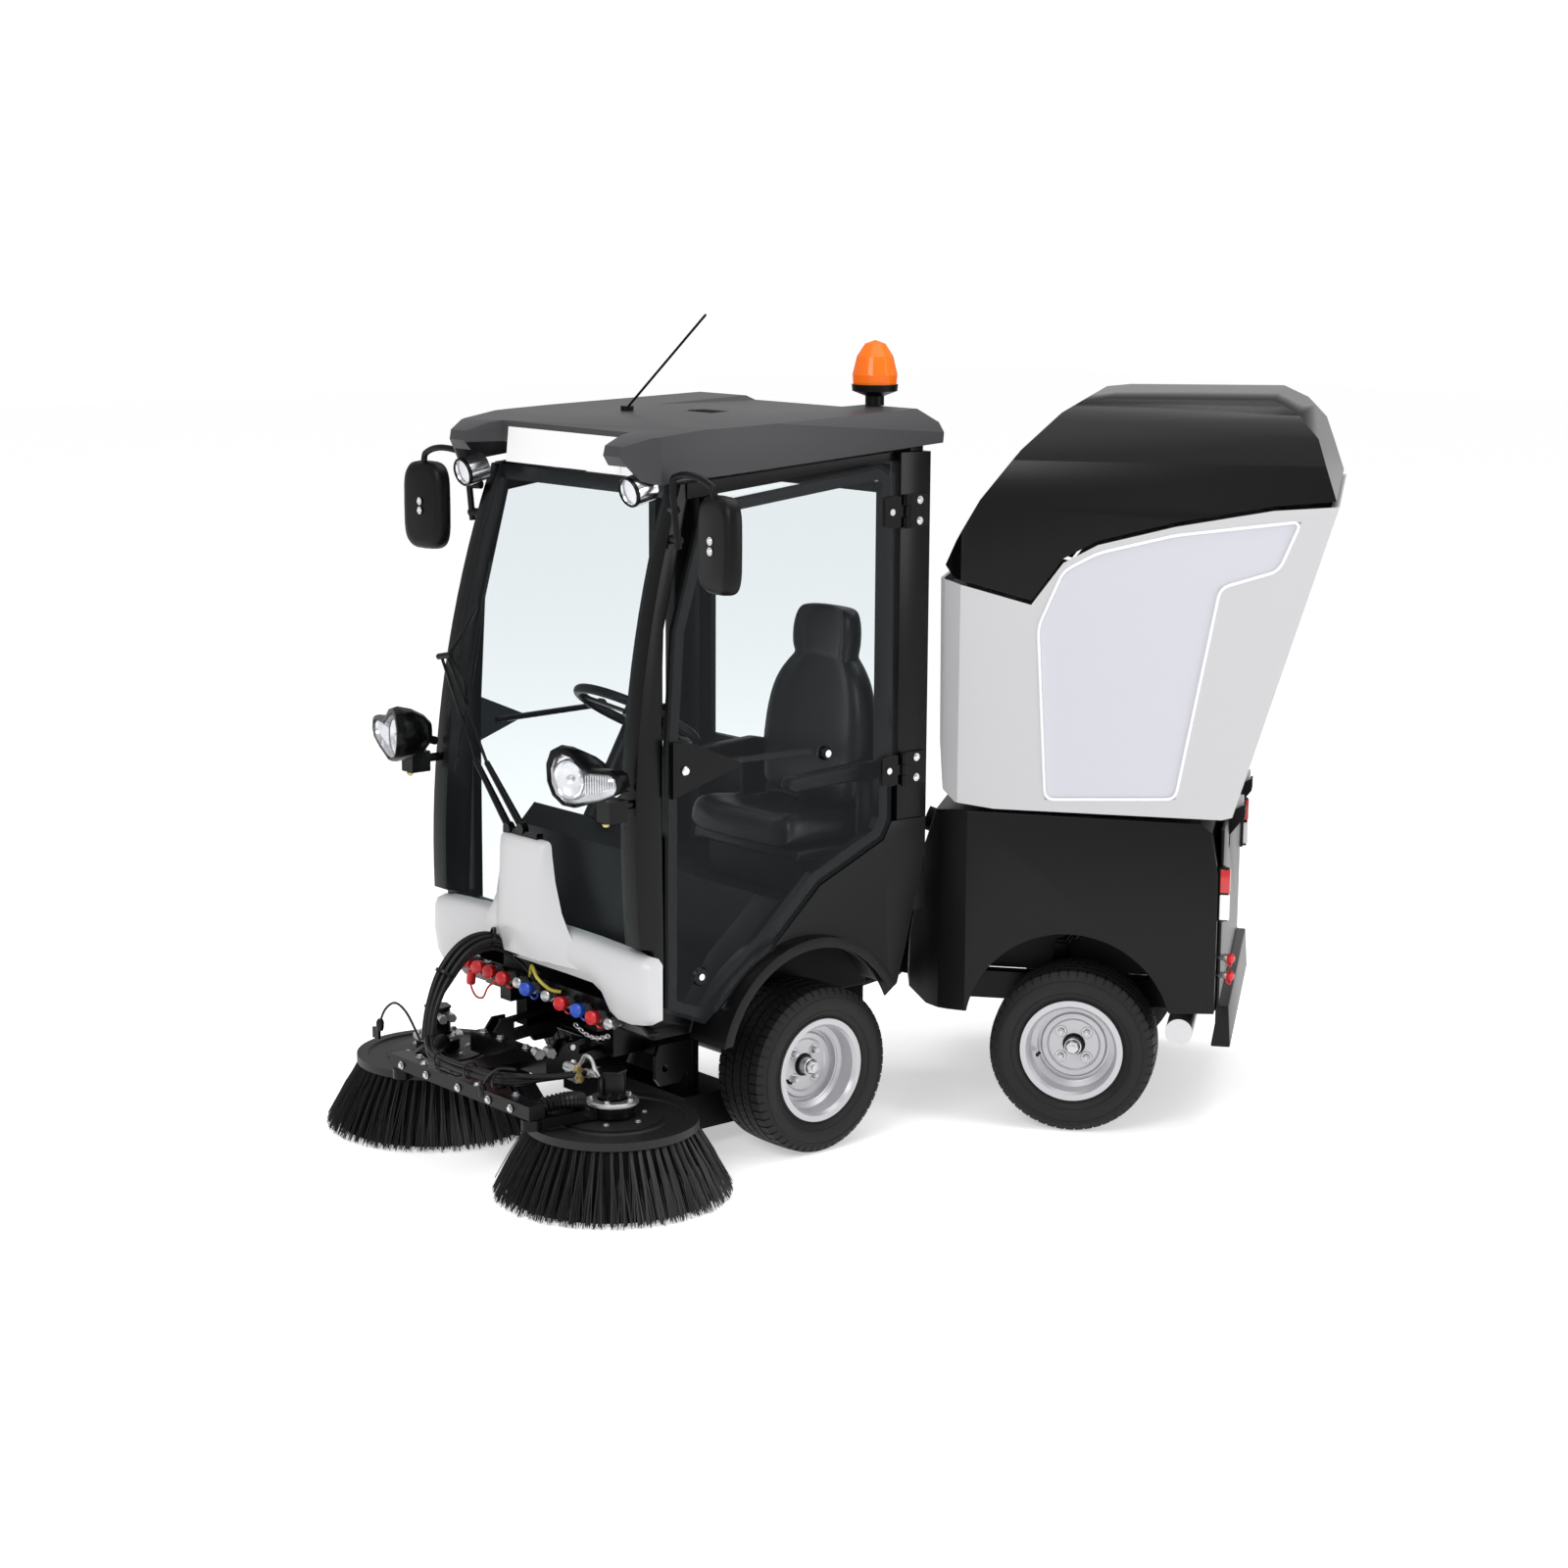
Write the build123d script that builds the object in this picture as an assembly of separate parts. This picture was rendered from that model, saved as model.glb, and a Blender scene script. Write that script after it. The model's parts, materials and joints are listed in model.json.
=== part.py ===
from build123d import *
import math
import os

os.makedirs("parts", exist_ok=True)

# A compact articulated road sweeper, parked at its left steering lock.
# Front pieces are drawn from the ground under the front axle, rear pieces from the ground under
# the rear axle, both straight ahead: X to the machine's left, Y to its rear, Z up, in millimetres.

# Overall layout
PIVOT_TO_FRONT_AXLE = 674
PIVOT_TO_REAR_AXLE = 626
FOLD = 51.8                      # parked steering lock, degrees
PIVOT_IN_ROW = (-306, 206)       # puts the origin at the middle of the parked outline
GAP = 0.3                        # seat between separate pieces
MOVE_GAP = 6                     # room between moving pieces

# Wheels
TYRE_OD = 468
TYRE_W = 195
RIM_FLANGE_OD = 288
RIM_SEAT_OD = 254
RIM_W = 166
WHEEL_X = 421                    # tyre's middle plane from the centre line
NAVE_IN = 74                     # nave face behind the outer flange
NAVE_R = 98
NAVE_T = 6
WALL = 4
TYRE_R = TYRE_OD / 2
NAVE_X = RIM_W / 2 - NAVE_IN     # nave face from the tyre's middle plane
HUB_R = 82
STUB_R = 20

# Chassis
RAIL_X = 200
RAIL_W = 50
RAIL_H = 80
FRAME_Z = 300
PLATE = 12
PIN_R = 30
EAR_R = 62
EAR_LOW_Z = 300
EAR_HIGH_Z = 545

# Cab side plane, toed in towards the front
SIDE_X = 515
B_PILLAR_Y = 250
SIDE_TOE = 4.3
CAB_REAR_Y = 359
FLOOR_Z = 400
CAB_TOP_Z = 1920
PILLAR_X = 430                   # inner face of the front pillars at the floor
GLASS_T = 5
SCREEN = ((-428, 1850), (-585, 1230), (-606, 662))   # y, z of the glass: top, middle, foot

# Doors
DOOR_TUBE = 28
DOOR_HINGE = (14, 268)            # from the side plane, from the front axle
DOOR_HINGE_ZS = (1043, 1748)

# Brushes
BRUSH_X = 408
BRUSH_Y = -642
DISC_R = 228
DISC_TOP_Z = 205
DISC_T = 22
BRISTLE_R = 318
BRISTLE_FLOOR_GAP = 2
MOTOR_R = 34
MOTOR_TOP_Z = 332
ARM_Z = (DISC_TOP_Z + 10, DISC_TOP_Z + 38)
BEAM_Z = (DISC_TOP_Z + 10, DISC_TOP_Z + 78)
BEAM_Y = -885
BEAM_X = (-215, 385)
LIFT_HINGE = (-330, 310)         # y, z of the lift arms' pin on the frame
LIFT_LENGTH = 270
TIE_RISE = 45                    # upper links of the parallelogram above the arms

# Hopper
HOPPER_X = 530
HOPPER_WALL = 8
TIP_AXIS = (428, 888)            # y, z behind the rear axle
LID_AXIS = (-352, 1585)
CYLINDER_FOOT = (-60, 470)
CYLINDER_EYE = (250, 895)
CYLINDER_X = 252
ROD_R = 14
EYE_R = 16
EYE_HALF = 15                    # wider than the rod, so the eye's pin never meets the rod


def side_slab(points, x0, x1):
    """A (y, z) outline given thickness along X."""
    face = Plane.YZ * make_face(Polyline(*points, close=True))
    return Pos(x0, 0, 0) * extrude(face, amount=x1 - x0)


def front_slab(points, y0, y1):
    """An (x, z) outline given thickness along Y."""
    face = Plane.XZ * make_face(Polyline(*points, close=True))
    return Pos(0, y1, 0) * extrude(face, amount=y1 - y0)


def top_slab(points, z0, z1):
    """An (x, y) outline given thickness along Z."""
    return Pos(0, 0, z0) * extrude(make_face(Polyline(*points, close=True)), amount=z1 - z0)


def block(x0, x1, y0, y1, z0, z1):
    return Pos((x0 + x1) / 2, (y0 + y1) / 2, (z0 + z1) / 2) * Box(x1 - x0, y1 - y0, z1 - z0)


def bar(start, end, radius):
    """A round bar from one point to another."""
    start, end = Vector(*start), Vector(*end)
    run = end - start
    return Plane(origin=start, z_dir=run) * Cylinder(
        radius, run.length, align=(Align.CENTER, Align.CENTER, Align.MIN)
    )


def pipe(points, bend, radius, bore=0):
    """A tube along straight runs with rounded bends."""
    path = FilletPolyline(*points, radius=bend)
    section = Circle(radius) - Circle(bore) if bore else Circle(radius)
    return sweep(Plane(origin=path @ 0, z_dir=path % 0) * section, path=path)


def both_sides(shape):
    return [shape, mirror(shape, about=Plane.YZ)]


def spun(points, axis_x=0, axis_y=0):
    """An (r, z) outline turned about a vertical axis."""
    face = Plane.XZ * make_face(Polyline(*points, close=True))
    return Pos(axis_x, axis_y, 0) * revolve(face, axis=Axis.Z)


def on_side(shape):
    """Moves a piece drawn on the plane x = 0 to the cab's left side plane."""
    return Pos(SIDE_X, B_PILLAR_Y, 0) * Rot(0, 0, -SIDE_TOE) * Pos(0, -B_PILLAR_Y, 0) * shape


def in_front(shape):
    return Pos(PIVOT_IN_ROW[0], PIVOT_IN_ROW[1] - PIVOT_TO_FRONT_AXLE, 0) * shape


def in_rear(shape):
    folded = Rot(0, 0, -FOLD) * Pos(0, PIVOT_TO_REAR_AXLE, 0) * shape
    return Pos(PIVOT_IN_ROW[0], PIVOT_IN_ROW[1], 0) * folded


def save(name, place, *shapes):
    solids = []
    for shape in shapes:
        solids += place(shape).solids()
    export_step(Compound(children=solids), f"parts/{name}.step")


# Wheels, drawn about X with the outer side towards +X

def rim():
    half, flange_r, seat_r, well_r = RIM_W / 2, RIM_FLANGE_OD / 2, RIM_SEAT_OD / 2, RIM_SEAT_OD / 2 - 21
    barrel = [
        (half - 6, flange_r), (half, flange_r), (half, seat_r + 1), (half - 9, seat_r - 6),
        (30, seat_r - 9), (24, well_r - WALL), (-30, well_r - WALL), (-36, seat_r - 9),
        (9 - half, seat_r - 6), (-half, seat_r + 1), (-half, flange_r), (6 - half, flange_r),
        (6 - half, seat_r + 4), (13 - half, seat_r), (-40, seat_r - 4), (-34, well_r),
        (28, well_r), (34, seat_r - 4), (half - 13, seat_r), (half - 6, seat_r + 4),
    ]
    nave = [
        (NAVE_X - NAVE_T, well_r - 1), (NAVE_X, well_r - 1), (NAVE_X, NAVE_R - 4), (NAVE_X + 5, NAVE_R - 9),
        (NAVE_X + 5, 76), (NAVE_X, 70), (NAVE_X, 32), (NAVE_X - NAVE_T, 32),
    ]
    turned = [revolve(make_face(Polyline(*outline, close=True)), axis=Axis.X) for outline in (barrel, nave)]
    return turned[0] + turned[1]


def tyre():
    bead_x, bead_r, half = RIM_W / 2 - 6 - GAP, RIM_SEAT_OD / 2 + 4, TYRE_W / 2
    outline = [
        Line((7 - bead_x, bead_r - 3), (bead_x - 7, bead_r - 3)),
        Line((bead_x - 7, bead_r - 3), (bead_x, bead_r + 1)),
        Line((bead_x, bead_r + 1), (bead_x, RIM_FLANGE_OD / 2 + 2)),
        ThreePointArc((bead_x, RIM_FLANGE_OD / 2 + 2), (half, TYRE_R - 45), (half - 13, TYRE_R - 12)),
        ThreePointArc((half - 13, TYRE_R - 12), (half - 17, TYRE_R - 6), (half - 24, TYRE_R - 2.5)),
        ThreePointArc((half - 24, TYRE_R - 2.5), (0, TYRE_R), (24 - half, TYRE_R - 2.5)),
        ThreePointArc((24 - half, TYRE_R - 2.5), (17 - half, TYRE_R - 6), (13 - half, TYRE_R - 12)),
        ThreePointArc((13 - half, TYRE_R - 12), (-half, TYRE_R - 45), (-bead_x, RIM_FLANGE_OD / 2 + 2)),
        Line((-bead_x, RIM_FLANGE_OD / 2 + 2), (-bead_x, bead_r + 1)),
        Line((-bead_x, bead_r + 1), (7 - bead_x, bead_r - 3)),
    ]
    return revolve(make_face(outline), axis=Axis.X)


def axle():
    """Beam with a hub motor, hub flange and stub at each end."""
    flange_x = WHEEL_X + NAVE_X - NAVE_T - GAP
    pieces = bar((-RAIL_X - 60, 0, TYRE_R), (RAIL_X + 60, 0, TYRE_R), 45)
    for side in (-1, 1):
        pieces += bar((side * (RAIL_X + 60), 0, TYRE_R), (side * (flange_x - 25), 0, TYRE_R), 70)
        pieces += bar((side * (flange_x - 25), 0, TYRE_R), (side * flange_x, 0, TYRE_R), HUB_R)
        pieces += bar((side * flange_x, 0, TYRE_R), (side * (flange_x + 34), 0, TYRE_R), STUB_R)
        pieces += block(*sorted((side * (RAIL_X - 20), side * (RAIL_X + 8))),
                        -55, 55, TYRE_R, FRAME_Z - GAP)
    return pieces


for wheel_side, side_name in ((1, "left"), (-1, "right")):
    for place, end_name in ((in_front, "front"), (in_rear, "rear")):
        for make, piece_name in ((tyre, "tyre"), (rim, "rim")):
            wheel_piece = Pos(WHEEL_X, 0, TYRE_R) * make()
            if wheel_side < 0:
                wheel_piece = mirror(wheel_piece, about=Plane.YZ)
            save(f"{piece_name}_{end_name}_{side_name}", place, wheel_piece)

save("front_axle", in_front, axle())
save("rear_axle", in_rear, axle())


# Front chassis with the yoke of the steering pivot

def front_frame():
    rails = block(RAIL_X - 25, RAIL_X + 25, -500, 400, FRAME_Z, FRAME_Z + RAIL_H)
    frame = rails + mirror(rails, about=Plane.YZ)
    for cross_y in (-40, 370):
        frame += block(-RAIL_X, RAIL_X, cross_y - 25, cross_y + 25, FRAME_Z, FRAME_Z + RAIL_H)
    frame += block(-120, 120, 385, 400, EAR_LOW_Z, EAR_HIGH_Z + PLATE)
    for ear_z in (EAR_LOW_Z, EAR_HIGH_Z):
        ear = top_slab([(-120, 390), (120, 390), (EAR_R, 640), (-EAR_R, 640)], ear_z, ear_z + PLATE)
        ear += Pos(0, PIVOT_TO_FRONT_AXLE, ear_z + PLATE / 2) * Cylinder(EAR_R, PLATE)
        frame += ear
    frame += Pos(0, PIVOT_TO_FRONT_AXLE, (EAR_LOW_Z + EAR_HIGH_Z + PLATE) / 2) * Cylinder(
        PIN_R, EAR_HIGH_Z - EAR_LOW_Z + 36
    )
    hinge_y, hinge_z = LIFT_HINGE
    for hinge_x in (-150, 150):
        for offset in (-24, 24):
            plate_x = hinge_x + offset
            frame += side_slab(
                [(hinge_y - 22, hinge_z - 24), (hinge_y + 22, hinge_z - 24), (hinge_y + 60, FRAME_Z + 10),
                 (hinge_y + 60, hinge_z + TIE_RISE + 14), (hinge_y - 22, hinge_z + TIE_RISE + 14)],
                plate_x - 4, plate_x + 4,
            )
            for rise, link_half, boss_r in ((0, 13, 12), (TIE_RISE, 7, 9)):
                inner, outer = (hinge_x + offset / 24 * reach for reach in (link_half + GAP, 22))
                frame += bar((inner, hinge_y, hinge_z + rise), (outer, hinge_y, hinge_z + rise), boss_r)
    frame += block(-RAIL_X, RAIL_X, hinge_y + 50, hinge_y + 90, FRAME_Z, FRAME_Z + RAIL_H)
    for side in (-1, 1):
        frame += block(*sorted((side * RAIL_X, side * 297)), -400, -350, FRAME_Z, FRAME_Z + 30)
        lug = side_slab([(-412, 300), (-412, 236), (-396, 215), (-330, 215), (-290, 262), (-290, 330),
                         (-400, 330)],
                        *sorted((side * 285, side * 297)))
        frame += lug - bar((side * 280, -380, 262), (side * 300, -380, 262), 10)
    return frame


save("front_frame", in_front, front_frame())

COUPLING_BAR = dict(x=425, y0=-560, y1=-500, z0=406, z1=478)


def coupling_bar():
    c = COUPLING_BAR
    outline = [
        (c["y0"], c["z1"]), (c["y0"], c["z0"] + 30), (c["y0"] + 25, c["z0"]), (c["y1"], c["z0"]),
        (c["y1"], c["z0"] + 6), (c["y0"] + 28, c["z0"] + 6), (c["y0"] + 6, c["z0"] + 33),
        (c["y0"] + 6, c["z1"]),
    ]
    channel = side_slab(outline, -c["x"], c["x"])
    for rail_side in (-1, 1):
        rail_faces = sorted((rail_side * (RAIL_X - RAIL_W / 2), rail_side * (RAIL_X + RAIL_W / 2)))
        channel += block(*rail_faces, c["y0"] + 6, c["y1"], FRAME_Z + RAIL_H, c["z0"] + 50)
    return channel


save("coupling_bar", in_front, coupling_bar())


# Cab floor, seat box and wheel housings, one moulding

FLOOR_FRONT_Y = -490
SEAT_BOX = dict(x=300, y0=-60, z1=700)
SEAT_X = 185                     # seat and steering wheel stand left of the centre line


def cab_floor():
    lower = [
        (FLOOR_FRONT_Y, FRAME_Z + RAIL_H + GAP), (CAB_REAR_Y - 20, FRAME_Z + RAIL_H + GAP),
        (CAB_REAR_Y - 20, SEAT_BOX["z1"]), (SEAT_BOX["y0"], SEAT_BOX["z1"]),
        (SEAT_BOX["y0"] - 30, FLOOR_Z + 12), (FLOOR_FRONT_Y + 10, FLOOR_Z + 12), (FLOOR_FRONT_Y + 10, 488),
        (-504, 560), (-504, 640), (-514, 640), (-514, 556), (FLOOR_FRONT_Y, 486),
    ]
    floor = side_slab(lower, -SEAT_BOX["x"], SEAT_BOX["x"])
    step = block(SEAT_BOX["x"] - 5, 390, FLOOR_FRONT_Y, -330, FRAME_Z + RAIL_H + GAP, FLOOR_Z + 12)
    housing = side_slab(
        [(-330, FRAME_Z + RAIL_H + GAP), (-330, FLOOR_Z + 12), (-230, 560), (-60, 700),
         (CAB_REAR_Y - 20, 700), (CAB_REAR_Y - 20, 600), (0, 600), (-180, 520), (-290, 400),
         (-290, FRAME_Z + RAIL_H + GAP)],
        SEAT_BOX["x"] - 5, 390,
    )
    room_for_ties = block(-170, 170, FLOOR_FRONT_Y - 1, -400, FRAME_Z + RAIL_H - 1, FLOOR_Z - 6)
    floor = floor - room_for_ties
    return floor + step + mirror(step, about=Plane.YZ) + housing + mirror(housing, about=Plane.YZ)


save("cab_floor", in_front, cab_floor())

# Door outline on the cab's side plane, front top corner first
DOOR_OUTLINE = [(-388, 1805), (-484, 1480), (-506, 1150), (-508, 475), (-385, 425), (-168, 601), (-9, 756),
                (205, 855), (232, 905), (232, 1850), (185, 1875)]


def door_shape(grow, x0, x1):
    face = Plane.YZ * offset(make_face(Polyline(*DOOR_OUTLINE, close=True)),
                             amount=grow, kind=Kind.INTERSECTION)
    return Pos(x0, 0, 0) * extrude(face, amount=x1 - x0)


# Black wings: panel below the door with a rolled wheel arch
ARCH_C = (-55, 292)              # y, z of the arch's centre
ARCH_R = 300
ARCH_LIP = 28
WING_T = 5


def fender():
    y_c, z_c = ARCH_C
    outline = [(-345, 395), (-345, 700), (-100, 900), (CAB_REAR_Y - 5, 900), (CAB_REAR_Y - 5, 800),
               (290, 541),
               (262, 440), (200, 395)]
    panel = on_side(side_slab(outline, GAP - 2, GAP - 2 + WING_T) - door_shape(MOVE_GAP, -20, 20))
    panel -= bar((0, y_c, z_c), (SIDE_X + 60, y_c, z_c), ARCH_R)
    lip = bar((SIDE_X - 119, y_c, z_c), (SIDE_X + 28, y_c, z_c), ARCH_R + ARCH_LIP)
    lip -= bar((SIDE_X - 120, y_c, z_c), (SIDE_X + 22, y_c, z_c), ARCH_R + ARCH_LIP - WING_T)
    lip -= bar((SIDE_X, y_c, z_c), (SIDE_X + 60, y_c, z_c), ARCH_R)
    lip &= side_slab([(-395, 366), (-395, 900), (245, 900), (245, 445)], 0, SIDE_X + 100)
    return panel + (lip - on_side(door_shape(MOVE_GAP, -DOOR_TUBE - MOVE_GAP, 20)))


save("front_fenders", in_front, *both_sides(fender()))


# Cab frame: curved front pillars, rear pillars, roof rails and sills

PILLAR_W = 62
PILLAR_LEAN = 55                 # how far the pillars' heads lean in over their height
FOOT_Z = 600


def shifted(points, step):
    return [(y + step, z) for y, z in points]


def leaning_band(inner, outer):
    """Region between two widths at the foot, leaning in towards the head unless it starts at the middle."""
    head_z = SCREEN[0][1] + 60
    lean = PILLAR_LEAN * (head_z - FOOT_Z) / (SCREEN[0][1] - FOOT_Z)
    top_inner = inner - lean if inner else 0
    return front_slab([(inner, FOOT_Z), (outer, FOOT_Z), (outer - lean, head_z), (top_inner, head_z)],
                      -700, -300)


def front_pillar():
    front = shifted(SCREEN, GLASS_T + GAP)
    outline = Plane.YZ * make_face([
        ThreePointArc(*front),
        Line(front[2], (-556, front[2][1] - 10)),
        Line((-556, front[2][1] - 10), (-556, FOOT_Z)),
        Line((-556, FOOT_Z), (-525, FOOT_Z)),
        Line((-525, FOOT_Z), (-515, 1160)),
        Line((-515, 1160), (-493, 1482)),
        Line((-493, 1482), (-392, SCREEN[0][1])),
        Line((-392, SCREEN[0][1]), front[0]),
    ])
    return extrude(outline, amount=SIDE_X) & leaning_band(PILLAR_X - 14, PILLAR_X - 14 + PILLAR_W)


def cab_frame():
    pillar = front_pillar()
    pillar += on_side(block(-50, -2, B_PILLAR_Y + 8, CAB_REAR_Y, 640, CAB_TOP_Z - 15))
    rail_side = [(-412, 1812), (-412, 1852), (B_PILLAR_Y + 10, 1905), (B_PILLAR_Y + 10, 1880)]
    rail = on_side(side_slab(rail_side, -80, -36))
    sill_side = [(-556, 455), (-405, 412), (-400, 440), (-515, 510), (-515, 650), (-556, 650)]
    sill = on_side(side_slab(sill_side, -72, -36))
    frame = pillar + rail + sill
    frame += mirror(frame, about=Plane.YZ)
    frame += block(40 - PILLAR_X, PILLAR_X - 40, -422, -382, 1810, 1850)
    frame += block(-SIDE_X + 25, SIDE_X - 25, CAB_REAR_Y - 45, CAB_REAR_Y, CAB_TOP_Z - 55, CAB_TOP_Z)
    frame += block(-PILLAR_X, PILLAR_X, -556, -514 - GAP, FOOT_Z, FOOT_Z + 40)
    return frame


save("cab_frame", in_front, cab_frame())


# Windows: curved screen and flat rear window

def windscreen():
    inner = shifted(SCREEN, GLASS_T)
    band = Plane.YZ * make_face([
        ThreePointArc(*SCREEN), Line(SCREEN[2], inner[2]), ThreePointArc(*inner[::-1]),
        Line(inner[0], SCREEN[0]),
    ])
    sheet = Pos(-SIDE_X, 0, 0) * extrude(band, amount=2 * SIDE_X)
    return sheet & (leaning_band(0, PILLAR_X + 2) + mirror(leaning_band(0, PILLAR_X + 2), about=Plane.YZ))


REAR_WINDOW = dict(x=400, z0=1010, z1=1780)


def rear_wall():
    w = REAR_WINDOW
    wall = block(-SIDE_X + 60, SIDE_X - 60, CAB_REAR_Y - 20 + GAP, CAB_REAR_Y, 640, CAB_TOP_Z - 55 - GAP)
    wall -= block(-w["x"], w["x"], 0, 500, w["z0"], w["z1"])
    return wall


def rear_window():
    w = REAR_WINDOW
    glass_y = CAB_REAR_Y - 14
    return block(GAP - w["x"], w["x"] - GAP, glass_y, glass_y + GLASS_T, w["z0"] + GAP, w["z1"] - GAP)


save("rear_wall", in_front, rear_wall())
save("cab_windows", in_front, windscreen(), rear_window())


# Roof: faceted moulding with a visor and raised sides

def roof_form(t):
    """Roof outside for t = 0, its inside for t = the wall."""
    side = side_slab(
        [(-590 + t, 1925), (-540 + t, 1862 - t), (-500, 1852 - t), (-440, 1862 - t),
         (CAB_REAR_Y + 40 - t, 1926 - t),
         (CAB_REAR_Y + 45 - t, 1980), (CAB_REAR_Y - 5 - t, 2016 - t), (-380, 1990 - t), (-520, 1972 - t),
         (-582 + t, 1950)],
        -560, 560,
    )
    front = front_slab(
        [(-540 + t, 1800), (-535 + t, 1945), (-470 + t, 2016 - t), (-260, 2018 - t), (-235, 2004 - t),
         (235, 2004 - t),
         (260, 2018 - t), (470 - t, 2016 - t), (535 - t, 1945), (540 - t, 1800)],
        -700, 600,
    )
    plan = top_slab(
        [(-360 + t, -620), (-440 + t, -500), (-475 + t, -330), (-528 + t, CAB_REAR_Y + 60),
         (528 - t, CAB_REAR_Y + 60),
         (475 - t, -330), (440 - t, -500), (360 - t, -620)],
        1700, 2100,
    )
    return side & front & plan


VISOR_RECESS = [(-345, -700), (-285, -482), (285, -482), (345, -700)]
WORK_LIGHT = ((374, -548, 1834), (374, -490, 1848))
WORK_LIGHT_R = 40


def roof():
    hollow = Pos(0, 0, -8) * roof_form(8) & block(-600, 600, -800, 800, 1700, CAB_TOP_Z + GAP)
    shell = roof_form(0) - hollow - top_slab(VISOR_RECESS, 1700, 2100)
    for x in (-1, 1):
        front, back = ((x * p[0], p[1], p[2]) for p in WORK_LIGHT)
        shell -= bar((front[0], front[1] - 60, front[2] - 14), back, WORK_LIGHT_R + GAP)
    return shell


save("roof", in_front, roof())


# Light grey front panel: bumper, end lobes and the central tower

# Tower sections: height, half width at the back, back y, half width of the front face, front y
TOWER = [(545, 250, -608, 95, -636), (650, 185, -618, 78, -666), (882, 108, -618, 95, -642)]


def tower(t):
    sections = []
    for z, back_x, back_y, front_x, front_y in TOWER:
        outline = [(t - back_x, back_y + t), (t - front_x, front_y + t), (front_x - t, front_y + t),
                   (back_x - t, back_y + t)]
        top = z - t if z == TOWER[-1][0] else z
        sections.append(Pos(0, 0, top) * make_face(Polyline(*outline, close=True)))
    return loft(sections, ruled=True)


def front_panel():
    bumper = front_slab(
        [(-475, 470), (-455, 640), (-430, 652), (430, 652), (455, 640), (475, 470), (460, 452), (385, 460),
         (350, 500), (-350, 500), (-385, 460), (-460, 452)],
        -660, -560,
    )
    profile = side_slab(
        [(-600, 452), (-606, 500), (-620, 560), (-614, 640), (-570, 658), (-568, 652), (-609, 635),
         (-612, 560), (-600, 500), (-594, 452)],
        -500, 500,
    )
    skin = bumper & profile
    tower_outer = tower(0)
    tower_inner = tower(5)
    return skin + (tower_outer - tower_inner)


save("front_panel", in_front, front_panel())


# Dashboard, steering column and wheel

WHEEL_C = (SEAT_X, -385, 1215)
COLUMN_TILT = 30


def on_column(distance):
    """A point on the steering axis, measured from the wheel's middle."""
    tilt = math.radians(COLUMN_TILT)
    return (WHEEL_C[0], WHEEL_C[1] + distance * math.sin(tilt), WHEEL_C[2] + distance * math.cos(tilt))


def dashboard():
    shell = side_slab([(-545, 642), (-560, 900), (-510, 950), (-430, 900), (-420, 820), (-450, 642)],
                      SEAT_X - 300, SEAT_X + 190)
    shell += side_slab([(-478, FLOOR_Z + 12 + GAP), (-478, 500), (-498, 560), (-498, 650), (-440, 650),
                         (-450, FLOOR_Z + 12 + GAP)], SEAT_X - 110, SEAT_X + 110)
    shell -= block(-400, 400, -560, -513, 600, FOOT_Z + 40 + GAP)
    return shell + bar(on_column(-300), on_column(-12 - GAP), 26)


def steering_wheel():
    ring = Torus(170, 13)
    hub = Cylinder(38, 24)
    for turn in (90, 210, 330):
        hub += Rot(0, 0, turn) * (Pos(85, 0, 0) * Box(170, 26, 8))
    return Pos(*WHEEL_C) * Rot(-COLUMN_TILT, 0, 0) * (ring + hub)


save("dashboard", in_front, dashboard())
save("steering_wheel", in_front, steering_wheel())


# Seat

def seat_base():
    base = block(-200, 200, 20, 300, SEAT_BOX["z1"] + GAP, 800)
    base += block(-225, 225, -10, 320, 800, 830)
    for arm_side in (-1, 1):
        base += block(*sorted((arm_side * 242, arm_side * 254)), 180, 270, 800, 1009)
        base += block(*sorted((arm_side * 222, arm_side * 254)), 180, 320, 800, 830)
    return base


def seat_cushion():
    cushion = side_slab([(-40, 850), (-30, 900), (0, 935), (60, 925), (260, 905), (290, 900),
                         (290, 830.3), (-20, 830.3)], -225, 225)
    return fillet(cushion.edges().filter_by(Axis.X), 14)


def seat_back():
    back = side_slab(
        [(205, 910.5), (215, 1040), (240, 1300), (252, 1318), (255, 1430), (275, 1462), (315, 1462),
         (333, 1430),
         (330, 1290), (330, 1100), (325, 910.5)],
        -220, 220,
    )
    plan = front_slab(
        [(-220, 905), (-222, 1100), (-205, 1240), (-150, 1300), (-125, 1312), (-130, 1420), (-105, 1465),
         (105, 1465),
         (130, 1420), (125, 1312), (150, 1300), (205, 1240), (222, 1100), (220, 905)],
        100, 400,
    )
    return back & plan


def armrests():
    rest = side_slab([(-80, 1020), (-70, 1045), (220, 1060), (270, 1050), (270, 1011), (-60, 1005)],
                     228, 268)
    return both_sides(rest)


save("seat_base", in_front, Pos(SEAT_X, 0, 0) * seat_base())
save("seat_cushion", in_front, Pos(SEAT_X, 0, 0) * seat_cushion())
save("seat_backrest", in_front, Pos(SEAT_X, 0, 0) * seat_back())
save("armrests", in_front, *[Pos(SEAT_X, 0, 0) * rest for rest in armrests()])


# Doors, hinged at their rear edge

def door_frame():
    tube = door_shape(-10, -DOOR_TUBE - GAP, -GAP) - door_shape(-10 - DOOR_TUBE, -DOOR_TUBE - 2, 2)
    axis_x, axis_y = DOOR_HINGE
    for hinge_z in DOOR_HINGE_ZS:
        tube += Pos(axis_x, axis_y, hinge_z) * Cylinder(9, 28)
        tube += block(-22, axis_x - 2, 214, 222, hinge_z - 14, hinge_z + 14)
        tube += block(axis_x - 9, axis_x - 2, 214, axis_y, hinge_z - 14, hinge_z + 14)
    return on_side(tube)


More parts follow.
